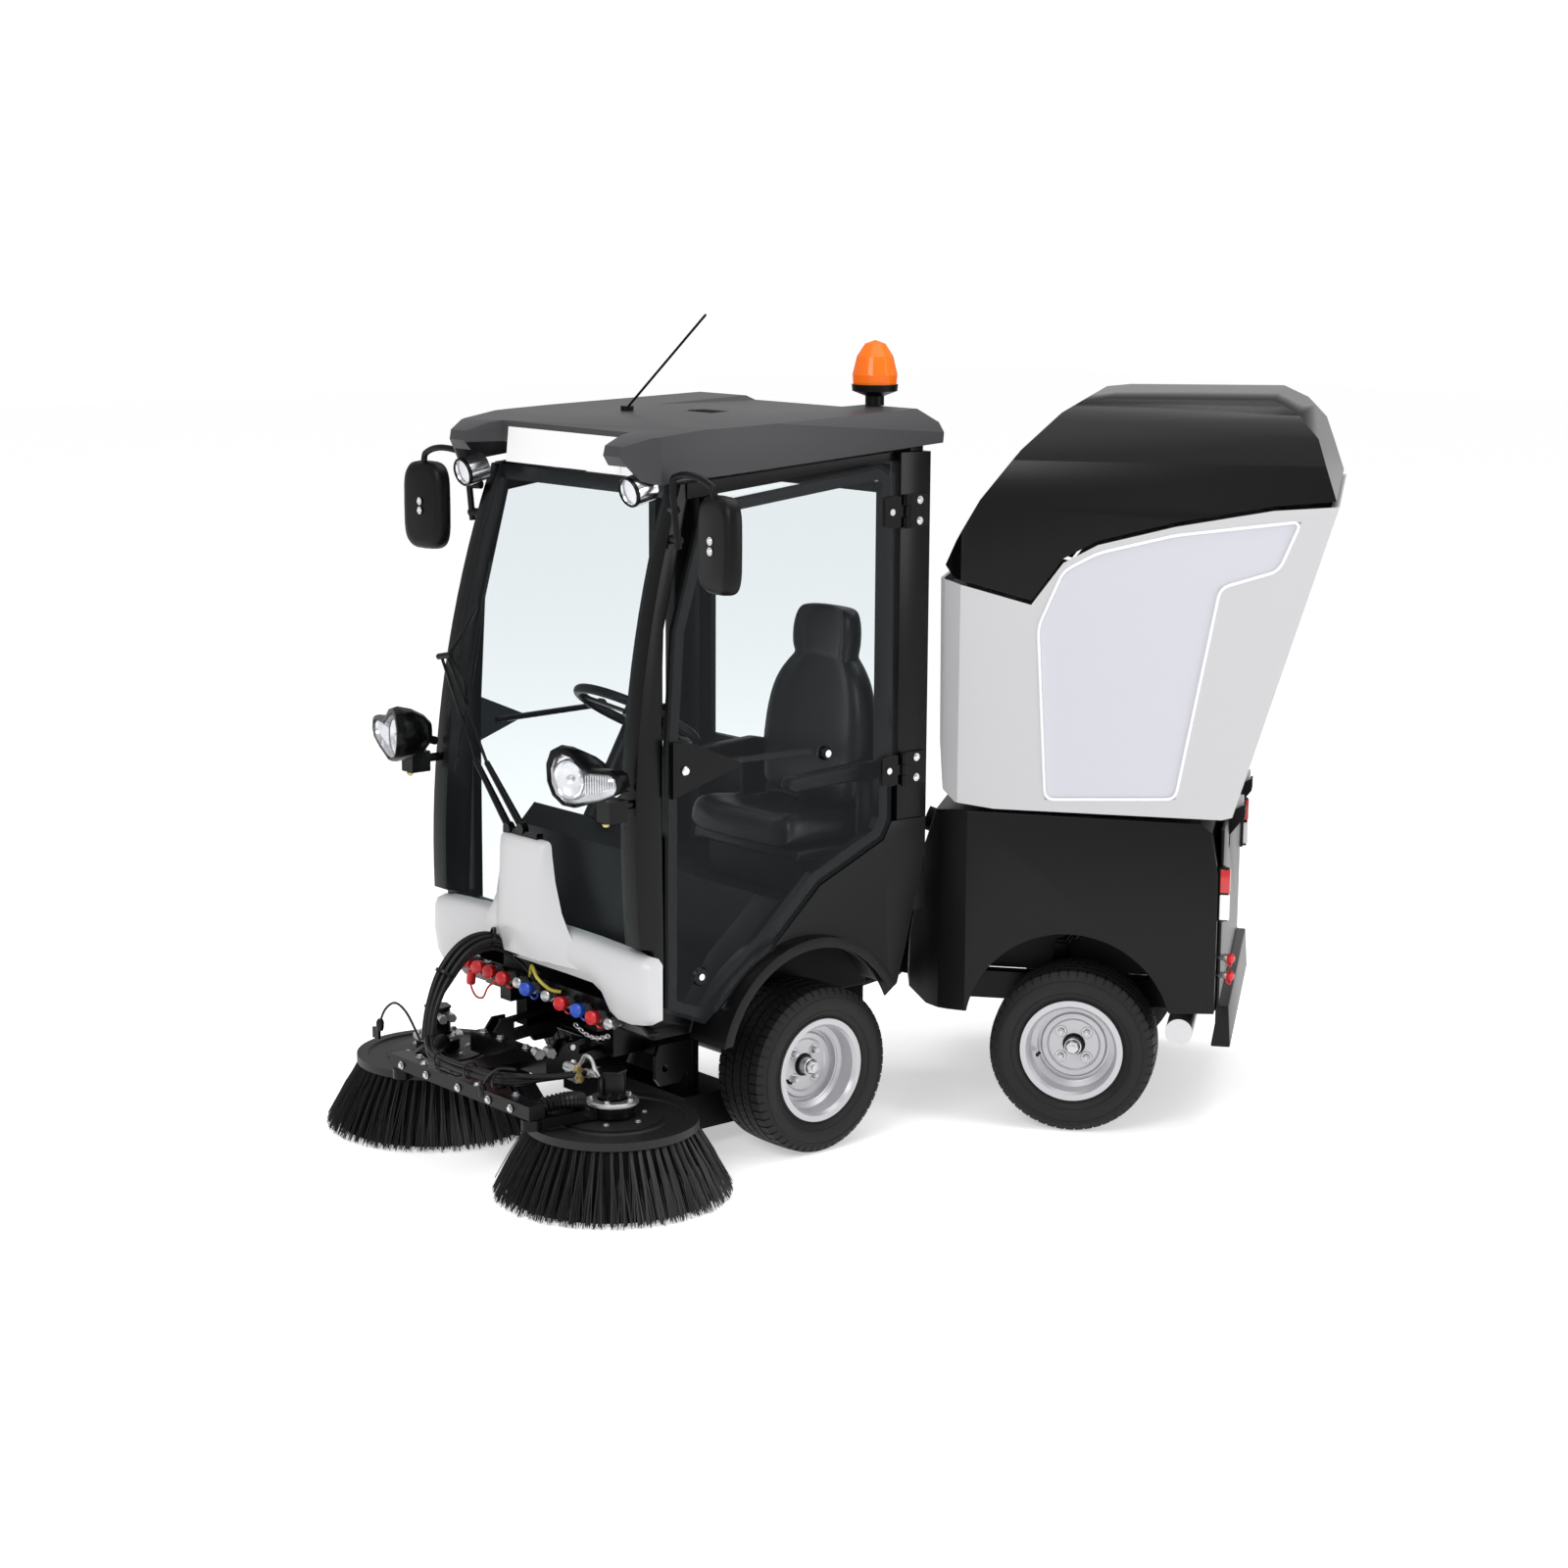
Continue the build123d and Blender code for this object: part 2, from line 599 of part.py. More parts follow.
def door_glass():
    glass = door_shape(0, 0, GLASS_T)
    for hinge_z in DOOR_HINGE_ZS:
        glass -= block(-1, GLASS_T + 1, 206, 240, hinge_z - 22, hinge_z + 22)
    return on_side(glass)


def pillar_hinges():
    leaves = []
    axis_x, axis_y = DOOR_HINGE
    for hinge_z in DOOR_HINGE_ZS:
        leaf = block(-2 + GAP, 5, axis_y + 4, CAB_REAR_Y - 12, hinge_z - 45, hinge_z + 45)
        for knuckle in (-30.5, 30.5):
            leaf += Pos(axis_x, axis_y, hinge_z + knuckle) * Cylinder(9, 29)
            leaf += block(-1, axis_x, axis_y - 2, axis_y + 8, hinge_z + knuckle - 14.5,
                          hinge_z + knuckle + 14.5)
        leaves.append(on_side(leaf))
    return leaves


for hand, flip in (("left", False), ("right", True)):
    for name, make in (("door_frame", door_frame), ("door_glass", door_glass)):
        piece = make()
        save(f"{name}_{hand}", in_front, mirror(piece, about=Plane.YZ) if flip else piece)
save("door_hinges", in_front, *[leaf for one in pillar_hinges() for leaf in both_sides(one)])


# Lamps, mirrors, wiper, beacon and aerial

def headlight():
    lamp = Pos(452, -765, 1114) * Rot(90, 0, 0) * loft([
        RectangleRounded(185, 165, 55),
        Pos(0, 0, -130) * RectangleRounded(110, 100, 40),
    ])
    lamp += block(425, 479, -700, -640, 1005, 1075)
    lamp += bar((440, -650, 1040), (440, screen_y(1030) + GLASS_T, 1040), 10)
    return lamp


def work_light():
    return bar(*WORK_LIGHT, WORK_LIGHT_R)


def mirror_set():
    head = Pos(656, -488, 1718) * Rot(0, 0, -8) * Box(165, 44, 250)
    arm = pipe([(462, -462, 1700), (462, -480, 1860), (560, -500, 1885), (650, -495, 1850),
                (652, -500, 1720)],
               30, 9)
    foot = bar((432, -456, 1712), (470, -464, 1712), 11)
    return head + arm + foot


def screen_y(z):
    """Front face of the screen at a height, on the circle through its three points."""
    (y1, z1), (y2, z2), (y3, z3) = SCREEN
    d = 2 * (y1 * (z2 - z3) + y2 * (z3 - z1) + y3 * (z1 - z2))
    s1, s2, s3 = y1 * y1 + z1 * z1, y2 * y2 + z2 * z2, y3 * y3 + z3 * z3
    yc = (s1 * (z2 - z3) + s2 * (z3 - z1) + s3 * (z1 - z2)) / d
    zc = (s1 * (y3 - y2) + s2 * (y1 - y3) + s3 * (y2 - y1)) / d
    radius = math.hypot(y1 - yc, z1 - zc)
    return yc - math.sqrt(radius * radius - (z - zc) ** 2)


def wiper():
    """Twin arm from the tower's top with its blade along the glass."""
    joint_z = 1420
    carrier = (-150, screen_y(joint_z) - 34, joint_z)
    arm = bar((14, -650, 905), carrier, 6) + bar((-14, -650, 898), (-172, carrier[1], joint_z - 20), 6)
    arm += bar(carrier, (-172, carrier[1], joint_z - 20), 8)
    for low, high in ((1150, 1420), (1420, 1690)):
        ends = [(-75 - (z - 1100) * 0.19, screen_y(z) - 10, z) for z in (low, high)]
        arm += bar(*ends, 6)
    arm += bar((-160, carrier[1], joint_z - 10), (-136, screen_y(joint_z) - 10, joint_z), 6)
    arm += bar((0, -637, 904.3), (0, -660, 904.3), 22)
    return arm


BEACON = (300, 352)


def beacon():
    x, y = BEACON
    base = spun([(0, 2016 + GAP), (26, 2016 + GAP), (26, 2042), (62, 2056), (64, 2074), (0, 2074)], x, y)
    dome = spun([(0, 2074), (60, 2074), (62, 2100), (50, 2150), (28, 2184), (0, 2194)], x, y)
    return [base, dome]


def antenna():
    base = Pos(-148, -160, 2004.7) * Cylinder(18, 12)
    return base + bar((-148, -160, 2005), (246, -200, 2270), 3.5)


save("headlights", in_front, *both_sides(headlight()))
save("work_lights", in_front, *both_sides(work_light()))
save("mirrors", in_front, *both_sides(mirror_set()))
save("wiper", in_front, wiper())
save("beacon_base", in_front, beacon()[0])
save("beacon_dome", in_front, Pos(0, 0, GAP) * beacon()[1])
save("antenna", in_front, antenna())


# Suction mouth and duct under the cab

def suction_mouth():
    mouth = block(-280, 280, -300, -110, 60, 160) - block(-270, 270, -290, -120, 50, 150)
    mouth += bar((0, -205, 155), (0, -130, FRAME_Z - 1), 70)
    for x in (-RAIL_X, RAIL_X):
        mouth += block(x - 10, x + 10, -215, -195, 155, FRAME_Z - GAP)
    return mouth


save("suction_mouth", in_front, suction_mouth())


# Brush lift: parallel arms, level head beam, swing arms, discs and bristles

HEAD_Y = LIFT_HINGE[0] - LIFT_LENGTH
HEAD_Z = LIFT_HINGE[1] - 20


def link(drop, width, rise=0):
    """One pair of parallelogram links from the frame's pins to the head's pins."""
    start, end = (LIFT_HINGE[0], LIFT_HINGE[1] + rise), (HEAD_Y, HEAD_Z + rise)
    pair = None
    for x in (-150, 150):
        piece = side_slab([(start[0], start[1] - drop), (start[0], start[1] + drop),
                           (end[0], end[1] + drop), (end[0], end[1] - drop)], x - width / 2, x + width / 2)
        for y, z in (start, end):
            piece += bar((x - width / 2, y, z), (x + width / 2, y, z), drop + 4)
        pair = piece if pair is None else pair + piece
    return pair


def lift_arms():
    cross_y, cross_z = LIFT_HINGE[0] - 90, LIFT_HINGE[1] - 7
    return link(14, 26) + bar((-150, cross_y, cross_z), (150, cross_y, cross_z), 14)


def tie_bars():
    return link(8, 14, TIE_RISE)


def brush_head():
    head = None
    for x in (-150, 150):
        for offset in (-21, 21):
            cheek = side_slab(
                [(HEAD_Y + 22, HEAD_Z - 22), (HEAD_Y + 22, HEAD_Z + TIE_RISE + 14),
                 (HEAD_Y - 20, HEAD_Z + TIE_RISE + 14),
                 (HEAD_Y - 60, HEAD_Z + 10), (HEAD_Y - 60, HEAD_Z - 22)],
                x + offset - 4, x + offset + 4,
            )
            for rise, link_half, boss_r in ((0, 13, 12), (TIE_RISE, 7, 9)):
                inner, outer = (x + offset / 21 * reach for reach in (link_half + GAP, 19))
                cheek += bar((inner, HEAD_Y, HEAD_Z + rise), (outer, HEAD_Y, HEAD_Z + rise), boss_r)
            head = cheek if head is None else head + cheek
    head += block(-175, 180, -690, HEAD_Y - 50, HEAD_Z - 25, HEAD_Z + 30)
    head += block(-40, 60, BEAM_Y, -680, HEAD_Z - 25, HEAD_Z - 5)
    head += block(-40, 60, BEAM_Y - 10, BEAM_Y + 10, BEAM_Z[1] - 5, HEAD_Z - 5)
    head += block(BEAM_X[0] - 25, BEAM_X[1] + 25, BEAM_Y - 25, BEAM_Y + 25, ARM_Z[1] + 3, BEAM_Z[1])
    for x in BEAM_X:
        head += bar((x, BEAM_Y, ARM_Z[0] - 2), (x, BEAM_Y, ARM_Z[1] + 4), 10)
    return head


def swing_arm(pivot_x, hub_x):
    low, high = ARM_Z
    run = Vector(hub_x - pivot_x, BRUSH_Y - BEAM_Y)
    angle = math.degrees(math.atan2(run.Y, run.X))
    level = (low + high) / 2
    arm = Pos(pivot_x, BEAM_Y, level) * Rot(0, 0, angle) * Pos(run.length / 2, 0, 0) * Box(
        run.length, 42, high - low)
    arm += Pos(pivot_x, BEAM_Y, level) * Cylinder(28, high - low)
    arm += Pos(hub_x, BRUSH_Y, level) * Cylinder(62, high - low)
    arm += bar((hub_x, BRUSH_Y, low), (hub_x, BRUSH_Y, MOTOR_TOP_Z), MOTOR_R)
    arm += bar((hub_x, BRUSH_Y, DISC_TOP_Z + 3 + GAP), (hub_x, BRUSH_Y, low), 40)
    arm -= bar((pivot_x, BEAM_Y, low - 10), (pivot_x, BEAM_Y, high + 10), 11)
    return arm


def brush_disc():
    top = DISC_TOP_Z
    return spun([(0, top - DISC_T), (DISC_R, top - DISC_T), (DISC_R, top), (DISC_R - 30, top),
                 (DISC_R - 34, top - 5),
                 (DISC_R - 80, top - 5), (DISC_R - 84, top - 1), (DISC_R - 120, top - 1),
                 (DISC_R - 124, top + 3),
                 (0, top + 3)])


def bristle_ring():
    top = DISC_TOP_Z - DISC_T - GAP
    return spun([(150, top), (DISC_R - 4, top), (BRISTLE_R, BRISTLE_FLOOR_GAP),
                 (BRISTLE_R - 110, BRISTLE_FLOOR_GAP)])


save("brush_lift_arms", in_front, lift_arms())
save("brush_tie_bars", in_front, tie_bars())
save("brush_head", in_front, brush_head())
for hand, pivot_x, hub_x in (("left", BEAM_X[1], BRUSH_X), ("right", BEAM_X[0], -BRUSH_X)):
    save(f"brush_arm_{hand}", in_front, swing_arm(pivot_x, hub_x))
    save(f"brush_disc_{hand}", in_front, Pos(hub_x, BRUSH_Y, 0) * brush_disc())
    save(f"bristles_{hand}", in_front, Pos(hub_x, BRUSH_Y, 0) * bristle_ring())


# Rear chassis

REAR_FRONT_Y = -400
REAR_ARCH_C = (-10, 285)
REAR_ARCH_R = 290


def rear_frame():
    rails = block(RAIL_X - 25, RAIL_X + 25, REAR_FRONT_Y, 380, FRAME_Z, FRAME_Z + RAIL_H)
    frame = rails + mirror(rails, about=Plane.YZ)
    for cross_y in (REAR_FRONT_Y + 25, -60, 355):
        frame += block(-RAIL_X, RAIL_X, cross_y - 25, cross_y + 25, FRAME_Z, FRAME_Z + RAIL_H)
    for side in (-1, 1):
        y, z = CYLINDER_FOOT
        for cheek in (-20, 20):
            x = side * CYLINDER_X + cheek
            frame += side_slab([(y - 40, FRAME_Z + RAIL_H - 30), (y - 16, z + 16), (y + 16, z + 16),
                                (y + 40, FRAME_Z + RAIL_H - 30)], x - 4, x + 4)
        frame += block(*sorted((side * RAIL_X, side * (CYLINDER_X + 24))),
                       y - 40, y + 40, FRAME_Z + RAIL_H - 30, FRAME_Z + RAIL_H)
        frame += bar((side * CYLINDER_X - 20, y, z), (side * CYLINDER_X - 12 - GAP, y, z), 10)
        frame += bar((side * CYLINDER_X + 12 + GAP, y, z), (side * CYLINDER_X + 20, y, z), 10)
    low, high = EAR_LOW_Z + PLATE + MOVE_GAP, EAR_HIGH_Z - MOVE_GAP
    frame += block(-120, 120, REAR_FRONT_Y, REAR_FRONT_Y + 15, FRAME_Z, high)
    tongue = top_slab([(-120, REAR_FRONT_Y + 5), (120, REAR_FRONT_Y + 5), (55, -570), (-55, -570)],
                      low, high)
    tongue += Pos(0, -PIVOT_TO_REAR_AXLE, (low + high) / 2) * Cylinder(56, high - low)
    tongue -= Pos(0, -PIVOT_TO_REAR_AXLE, (low + high) / 2) * Cylinder(PIN_R + 1, high - low + 20)
    frame += tongue
    for post_x in (-RAIL_X, RAIL_X):
        frame += block(post_x - 20, post_x + 20, -320, -280, FRAME_Z + RAIL_H, 921 - GAP)
        frame += block(post_x - 25, post_x + 25, 355, 387 - GAP, FRAME_Z, TIP_AXIS[1] - 131)
        frame += block(post_x - 25, post_x + 25, 355, 380, FRAME_Z, TIP_AXIS[1] - 40)
        for cheek in (-22, 22):
            frame += side_slab(
                [(355, TIP_AXIS[1] - 100), (355, TIP_AXIS[1] - 36), (TIP_AXIS[0] + 18, TIP_AXIS[1] + 16),
                 (TIP_AXIS[0] + 18, TIP_AXIS[1] - 20), (385, TIP_AXIS[1] - 100)],
                post_x + cheek - 3, post_x + cheek + 3)
    return frame


def rear_plan(t):
    """Plan of the rear body: straight sides, its front corners drawn in so that it can swing."""
    half = HOPPER_X - t
    return top_slab(
        [(-270, -505 + t), (-400 + t, -478 + t), (-500 + t, -380 + t), (-half, -300), (-half, 400 - t),
         (half, 400 - t),
         (half, -300), (500 - t, -380 + t), (400 - t, -478 + t), (270, -505 + t)], 250, 1000)


def rear_body():
    """Black body shell over the engine, open below, with a wheel arch each side."""
    t = 6
    side = [(-500, 380), (-470, 560), (-430, 800), (-395, 905), (-340, 912), (340, 902), (372, 880),
            (393, 760),
            (393, 371), (250, 365), (-351, 337), (-420, 337)]
    inner = [(-494, 240), (-494, 380), (-464, 560), (-424, 797), (-391, 898), (-338, 906), (338, 896),
             (366, 876),
             (387, 758), (387, 240)]
    body = side_slab(side, -HOPPER_X, HOPPER_X) & rear_plan(0)
    body -= side_slab(inner, t - HOPPER_X, HOPPER_X - t) & rear_plan(t)
    y_c, z_c = REAR_ARCH_C
    body -= bar((-600, y_c, z_c), (600, y_c, z_c), REAR_ARCH_R)
    body -= block(-EAR_R - 80, EAR_R + 80, -600, -380, 200, EAR_HIGH_Z + 80)
    body -= block(-310, 310, -340, 335, 850, 1000)
    for x in (-RAIL_X, RAIL_X):
        body -= block(x - 34, x + 34, 330, 420, TIP_AXIS[1] - 115, 1000)
    return body


save("rear_frame", in_rear, rear_frame())
save("rear_body", in_rear, rear_body())
save("engine", in_rear, block(-170, 170, -280, 290, FRAME_Z + RAIL_H + GAP, 760))


def rear_plate():
    plate = block(-480, 480, 393 + GAP, 404, 371, 880)
    for x in (-RAIL_X, RAIL_X):
        plate -= block(x - 34, x + 34, 380, 420, TIP_AXIS[1] - 115, TIP_AXIS[1] + 30)
    plate += side_slab([(404, 380), (430, 380), (438, 262), (384, 262), (394, 330), (394, 380)], -470, 470)
    return plate


save("rear_plate", in_rear, rear_plate())
save("tail_lamps", in_rear, *both_sides(block(484, 522, 393 + GAP, 425, 631, 782)))
MUFFLER = (295, 297)             # y, z of its axis
MUFFLER_R = 38


def muffler():
    bracket = block(225 + GAP, 262, 285, 305, 308, 328)
    return bar((250, *MUFFLER), (470, *MUFFLER), MUFFLER_R) + bracket


save("muffler", in_rear, muffler())
FILLER = (380, -413.3, 850)
FILLER_OUT = (0, -0.949, 0.316)


def filler_cap():
    ends = [tuple(at + step * out for at, out in zip(FILLER, FILLER_OUT)) for step in (GAP, 26)]
    return bar(*ends, 34)


save("filler_cap", in_rear, filler_cap())


# Hopper and its lid

HOPPER_SIDE = [(-393, 1552), (-388, 1100), (-375, 965), (-338, 935), (-228, 921), (396, 917), (425, 925),
               (532, 1287), (678, 1776), (507, 1762), (249, 1713), (41, 1658), (-51, 1607), (-136, 1490),
               (-351, 1545)]
LID_SIDE = [(-377, 1590), (-345, 1660), (-281, 1773), (-177, 1907), (-76, 2005), (-32, 2032), (40, 2040),
            (489, 2044),
            (560, 2010), (615, 1950), (670, 1790), (507, 1774), (249, 1725), (41, 1670), (-51, 1619),
            (-136, 1502),
            (-351, 1557)]


def plan_form(t):
    x = HOPPER_X - t
    return top_slab([(-x, 720), (x, 720), (x, -330), (x - 30, -378), (x - 60, -393 + t), (60 - x, -393 + t),
                     (30 - x, -378), (-x, -330)], 800, 2100)


# Recessed panel pressed into each side, y and z
SIDE_PANEL = [(-87, 953), (269, 969), (372, 1552), (526, 1602), (580, 1735), (249, 1690), (41, 1636),
              (-51, 1585),
              (-116, 1430)]
PRESSING = 4


def hopper_body():
    outer = side_slab(HOPPER_SIDE, -HOPPER_X, HOPPER_X)
    outer = outer & plan_form(0)
    face = Plane.YZ * make_face(Polyline(*HOPPER_SIDE, close=True))
    inner_face = offset(face, amount=-HOPPER_WALL, kind=Kind.INTERSECTION)
    inner = Pos(HOPPER_WALL - HOPPER_X, 0, 0) * extrude(inner_face, amount=2 * (HOPPER_X - HOPPER_WALL))
    opened = inner + Pos(0, 0, 40) * inner
    opened = opened & plan_form(HOPPER_WALL)
    body = outer - opened
    pressed = side_slab(SIDE_PANEL, HOPPER_X - PRESSING, HOPPER_X + 10)
    body = body - pressed - mirror(pressed, about=Plane.YZ)
    for x in (-RAIL_X, RAIL_X):
        body += block(x - 16, x + 16, TIP_AXIS[0] - 45, TIP_AXIS[0] + 12, TIP_AXIS[1] - 8, TIP_AXIS[1] + 36)
        body += bar((x - 16, *TIP_AXIS), (x + 16, *TIP_AXIS), 14)
    for x in (-280, 280):
        body += block(x - 16, x + 16, LID_AXIS[0] - 36, LID_AXIS[0] + 7, LID_AXIS[1] - 85, LID_AXIS[1] - 40)
        body += block(x - 16, x + 16, LID_AXIS[0] - 7, LID_AXIS[0] + 7, LID_AXIS[1] - 60, LID_AXIS[1])
        body += bar((x - 17.5, *LID_AXIS), (x + 17.5, *LID_AXIS), 7)
    for x in (-CYLINDER_X, CYLINDER_X):
        y, z = CYLINDER_EYE
        ear = side_slab([(y - 30, 925), (y - 16, z - 16), (y + 16, z - 16), (y + 30, 925)], x + 20, x + 28)
        ear += bar((x + EYE_HALF + GAP, y, z), (x + 24, y, z), 9)
        body += ear if x > 0 else mirror(ear, about=Plane(origin=(x, 0, 0), z_dir=(1, 0, 0)))
    return body


def lid_form(t):
    face = Plane.YZ * make_face(Polyline(*LID_SIDE, close=True))
    if t:
        face = offset(face, amount=-t, kind=Kind.INTERSECTION)
    solid = Pos(t - HOPPER_X, 0, 0) * extrude(face, amount=2 * (HOPPER_X - t))
    front = front_slab(
        [(t - 530, 1400), (t - 530, 1760), (t - 505, 1880), (t - 440, 1985), (t - 400, 2030),
         (t - 380, 2060), (380 - t, 2060),
         (400 - t, 2030), (440 - t, 1985), (505 - t, 1880), (530 - t, 1760), (530 - t, 1400)], -500, 800)
    return solid & front & plan_form(t)


def hopper_lid():
    outer = lid_form(0)
    inner = lid_form(HOPPER_WALL)
    lid = outer - (inner + Pos(0, 0, -30) * inner)
    for x in (-280, 280):
        lid -= block(x - 22, x + 22, LID_AXIS[0] - 40, LID_AXIS[0] + 17, LID_AXIS[1] - 45, LID_AXIS[1] + 17)
        for offset_x in (-28, 28):
            lid += bar((x + offset_x - 10, *LID_AXIS), (x + offset_x + 10, *LID_AXIS), 7)
            lid += block(x + offset_x - 10, x + offset_x + 10, LID_AXIS[0] - 16, LID_AXIS[0],
                         LID_AXIS[1] + 1, LID_AXIS[1] + 7)
    return lid


save("hopper_body", in_rear, hopper_body())
save("hopper_lid", in_rear, hopper_lid())


# Tipping cylinders under the hopper, one each side of the engine

def cylinder_length():
    return math.hypot(CYLINDER_EYE[0] - CYLINDER_FOOT[0], CYLINDER_EYE[1] - CYLINDER_FOOT[1])


def cylinder_point(distance):
    (y0, z0), (y1, z1) = CYLINDER_FOOT, CYLINDER_EYE
    share = distance / cylinder_length()
    return (y0 + (y1 - y0) * share, z0 + (z1 - z0) * share)


def cylinder_barrel(x):
    barrel = bar((x, *cylinder_point(50)), (x, *cylinder_point(360)), 25)
    barrel += bar((x, *cylinder_point(0)), (x, *cylinder_point(60)), 11)
    barrel -= bar((x, *cylinder_point(64)), (x, *cylinder_point(370)), ROD_R + 0.5)
    return barrel + bar((x - 12, *CYLINDER_FOOT), (x + 12, *CYLINDER_FOOT), 24)


def cylinder_rod(x):
    rod = bar((x, *cylinder_point(80)), (x, *cylinder_point(cylinder_length() - 10)), ROD_R)
    return rod + bar((x - EYE_HALF, *CYLINDER_EYE), (x + EYE_HALF, *CYLINDER_EYE), EYE_R)


save("tip_cylinders", in_rear, *[cylinder_barrel(x) for x in (-CYLINDER_X, CYLINDER_X)])
save("tip_rods", in_rear, *[cylinder_rod(x) for x in (-CYLINDER_X, CYLINDER_X)])
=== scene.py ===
import bmesh
import bpy
import json
import math
import random
from mathutils import Matrix, Vector


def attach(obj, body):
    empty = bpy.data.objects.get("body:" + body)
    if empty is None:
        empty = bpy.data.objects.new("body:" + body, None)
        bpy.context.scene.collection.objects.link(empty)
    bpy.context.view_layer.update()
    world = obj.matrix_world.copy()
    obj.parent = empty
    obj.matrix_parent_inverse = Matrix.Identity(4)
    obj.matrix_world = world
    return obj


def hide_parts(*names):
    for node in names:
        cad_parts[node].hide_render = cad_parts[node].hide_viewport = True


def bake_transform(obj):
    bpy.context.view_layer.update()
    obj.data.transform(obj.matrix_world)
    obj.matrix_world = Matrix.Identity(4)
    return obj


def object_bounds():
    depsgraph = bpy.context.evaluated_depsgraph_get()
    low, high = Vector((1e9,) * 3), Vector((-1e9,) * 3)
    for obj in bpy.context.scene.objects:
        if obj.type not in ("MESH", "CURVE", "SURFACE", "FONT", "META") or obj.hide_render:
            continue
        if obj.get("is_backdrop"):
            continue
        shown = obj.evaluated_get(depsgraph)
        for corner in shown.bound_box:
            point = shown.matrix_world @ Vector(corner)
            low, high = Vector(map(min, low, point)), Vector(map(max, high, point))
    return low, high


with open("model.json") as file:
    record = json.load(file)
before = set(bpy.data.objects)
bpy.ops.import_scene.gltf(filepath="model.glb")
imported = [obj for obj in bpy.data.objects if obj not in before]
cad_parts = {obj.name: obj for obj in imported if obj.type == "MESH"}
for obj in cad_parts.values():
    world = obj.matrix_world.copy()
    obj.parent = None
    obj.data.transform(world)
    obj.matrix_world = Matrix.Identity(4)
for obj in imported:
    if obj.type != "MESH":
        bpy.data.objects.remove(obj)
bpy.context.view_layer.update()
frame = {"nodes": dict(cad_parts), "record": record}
random.seed(7)

# Places. Front pieces are drawn from the ground under the front axle and rear pieces from the ground
# under the rear axle, in millimetres, X to the left, Y to the rear, Z up.
PIVOT = (-306, 206)
FRONT_AXLE = 674
REAR_AXLE = 626
FOLD = math.radians(51.8)
TOE = math.radians(4.3)
HANDS = ((1, "left"), (-1, "right"))


def front(p):
    return Vector(((p[0] + PIVOT[0]) / 1000, (p[1] + PIVOT[1] - FRONT_AXLE) / 1000, p[2] / 1000))


def rear(p):
    x, y = p[0], p[1] + REAR_AXLE
    c, s = math.cos(-FOLD), math.sin(-FOLD)
    return Vector(((x * c - y * s + PIVOT[0]) / 1000, (x * s + y * c + PIVOT[1]) / 1000, p[2] / 1000))


def side_point(out, y, z, hand=1):
    """A point on the cab's side: distance out from the door plane, y and z."""
    y -= 250
    x = 515 + out * math.cos(TOE) + y * math.sin(TOE)
    return (hand * x, 250 - out * math.sin(TOE) + y * math.cos(TOE), z)


# Materials
def material(name, colour, rough, metal=0.0, coat=0.0, spec=0.5):
    m = bpy.data.materials.new(name)
    m.use_nodes = True
    surface = m.node_tree.nodes["Principled BSDF"]
    surface.inputs["Base Color"].default_value = (*colour, 1)
    surface.inputs["Roughness"].default_value = rough
    surface.inputs["Metallic"].default_value = metal
    surface.inputs["Coat Weight"].default_value = coat
    surface.inputs["Specular IOR Level"].default_value = spec
    return m


BLACK_PAINT = material("black_paint", (0.0018, 0.0018, 0.002), 0.26, spec=0.17)
BLACK_MOULD = material("black_moulding", (0.003, 0.003, 0.0033), 0.4, spec=0.16)
BODY_BLACK = material("body_black", (0.0035, 0.0035, 0.0038), 0.34, spec=0.2)
LID_BLACK = material("lid_black", (0.002, 0.002, 0.0022), 0.2, spec=0.24)
DEEP_BLACK = material("deep_black", (0.0015, 0.0015, 0.0015), 0.6, spec=0.1)
ROOF_GREY = material("roof_grey", (0.042, 0.042, 0.045), 0.42, spec=0.25)
LIGHT_GREY = material("light_grey", (0.56, 0.56, 0.57), 0.3, spec=0.4)
HOPPER_GREY = material("hopper_grey", (0.5, 0.5, 0.51), 0.3, spec=0.4)
TYRE = material("tyre_rubber", (0.008, 0.008, 0.008), 0.6, spec=0.3)
RIM = material("wheel_silver", (0.5, 0.5, 0.52), 0.32, metal=0.45)
STEEL = material("bare_steel", (0.55, 0.55, 0.56), 0.3, metal=0.9)
CHROME = material("chrome", (0.75, 0.75, 0.77), 0.14, metal=1.0)
BRISTLE = material("bristle", (0.02, 0.02, 0.02), 0.5, spec=0.35)
DISC = material("disc_black", (0.01, 0.01, 0.01), 0.48, spec=0.3)
VINYL = material("seat_vinyl", (0.004, 0.004, 0.0043), 0.34, spec=0.25)
HOSE = material("hose_rubber", (0.004, 0.004, 0.004), 0.35, spec=0.25)
RED = material("red_cap", (0.55, 0.01, 0.015), 0.35)
BLUE = material("blue_cap", (0.02, 0.08, 0.5), 0.35)
YELLOW = material("yellow_hose", (0.5, 0.42, 0.06), 0.45)
WHITE = material("white_plate", (0.8, 0.8, 0.8), 0.35)
REFLECTOR = material("reflector", (0.8, 0.8, 0.82), 0.18, metal=1.0)
RED_LENS = material("red_lens", (0.5, 0.01, 0.01), 0.15, coat=0.4)
IRON = material("engine_iron", (0.03, 0.03, 0.03), 0.6, metal=0.4)
BRASS = material("brass_fitting", (0.65, 0.5, 0.2), 0.3, metal=1.0)
# Painted sheen: a paler, bluer grey standing in for the light on the hopper's pressed recesses.
PAINTED_SHEEN_GREY = material("panel_painted_sheen", (0.53, 0.53, 0.58), 0.28, spec=0.5)
# Painted highlight: near white for the bright line of light along the edges of the hopper's recesses.
PAINTED_HIGHLIGHT_WHITE = material("bead_painted_highlight", (0.82, 0.82, 0.84), 0.25, spec=0.5)


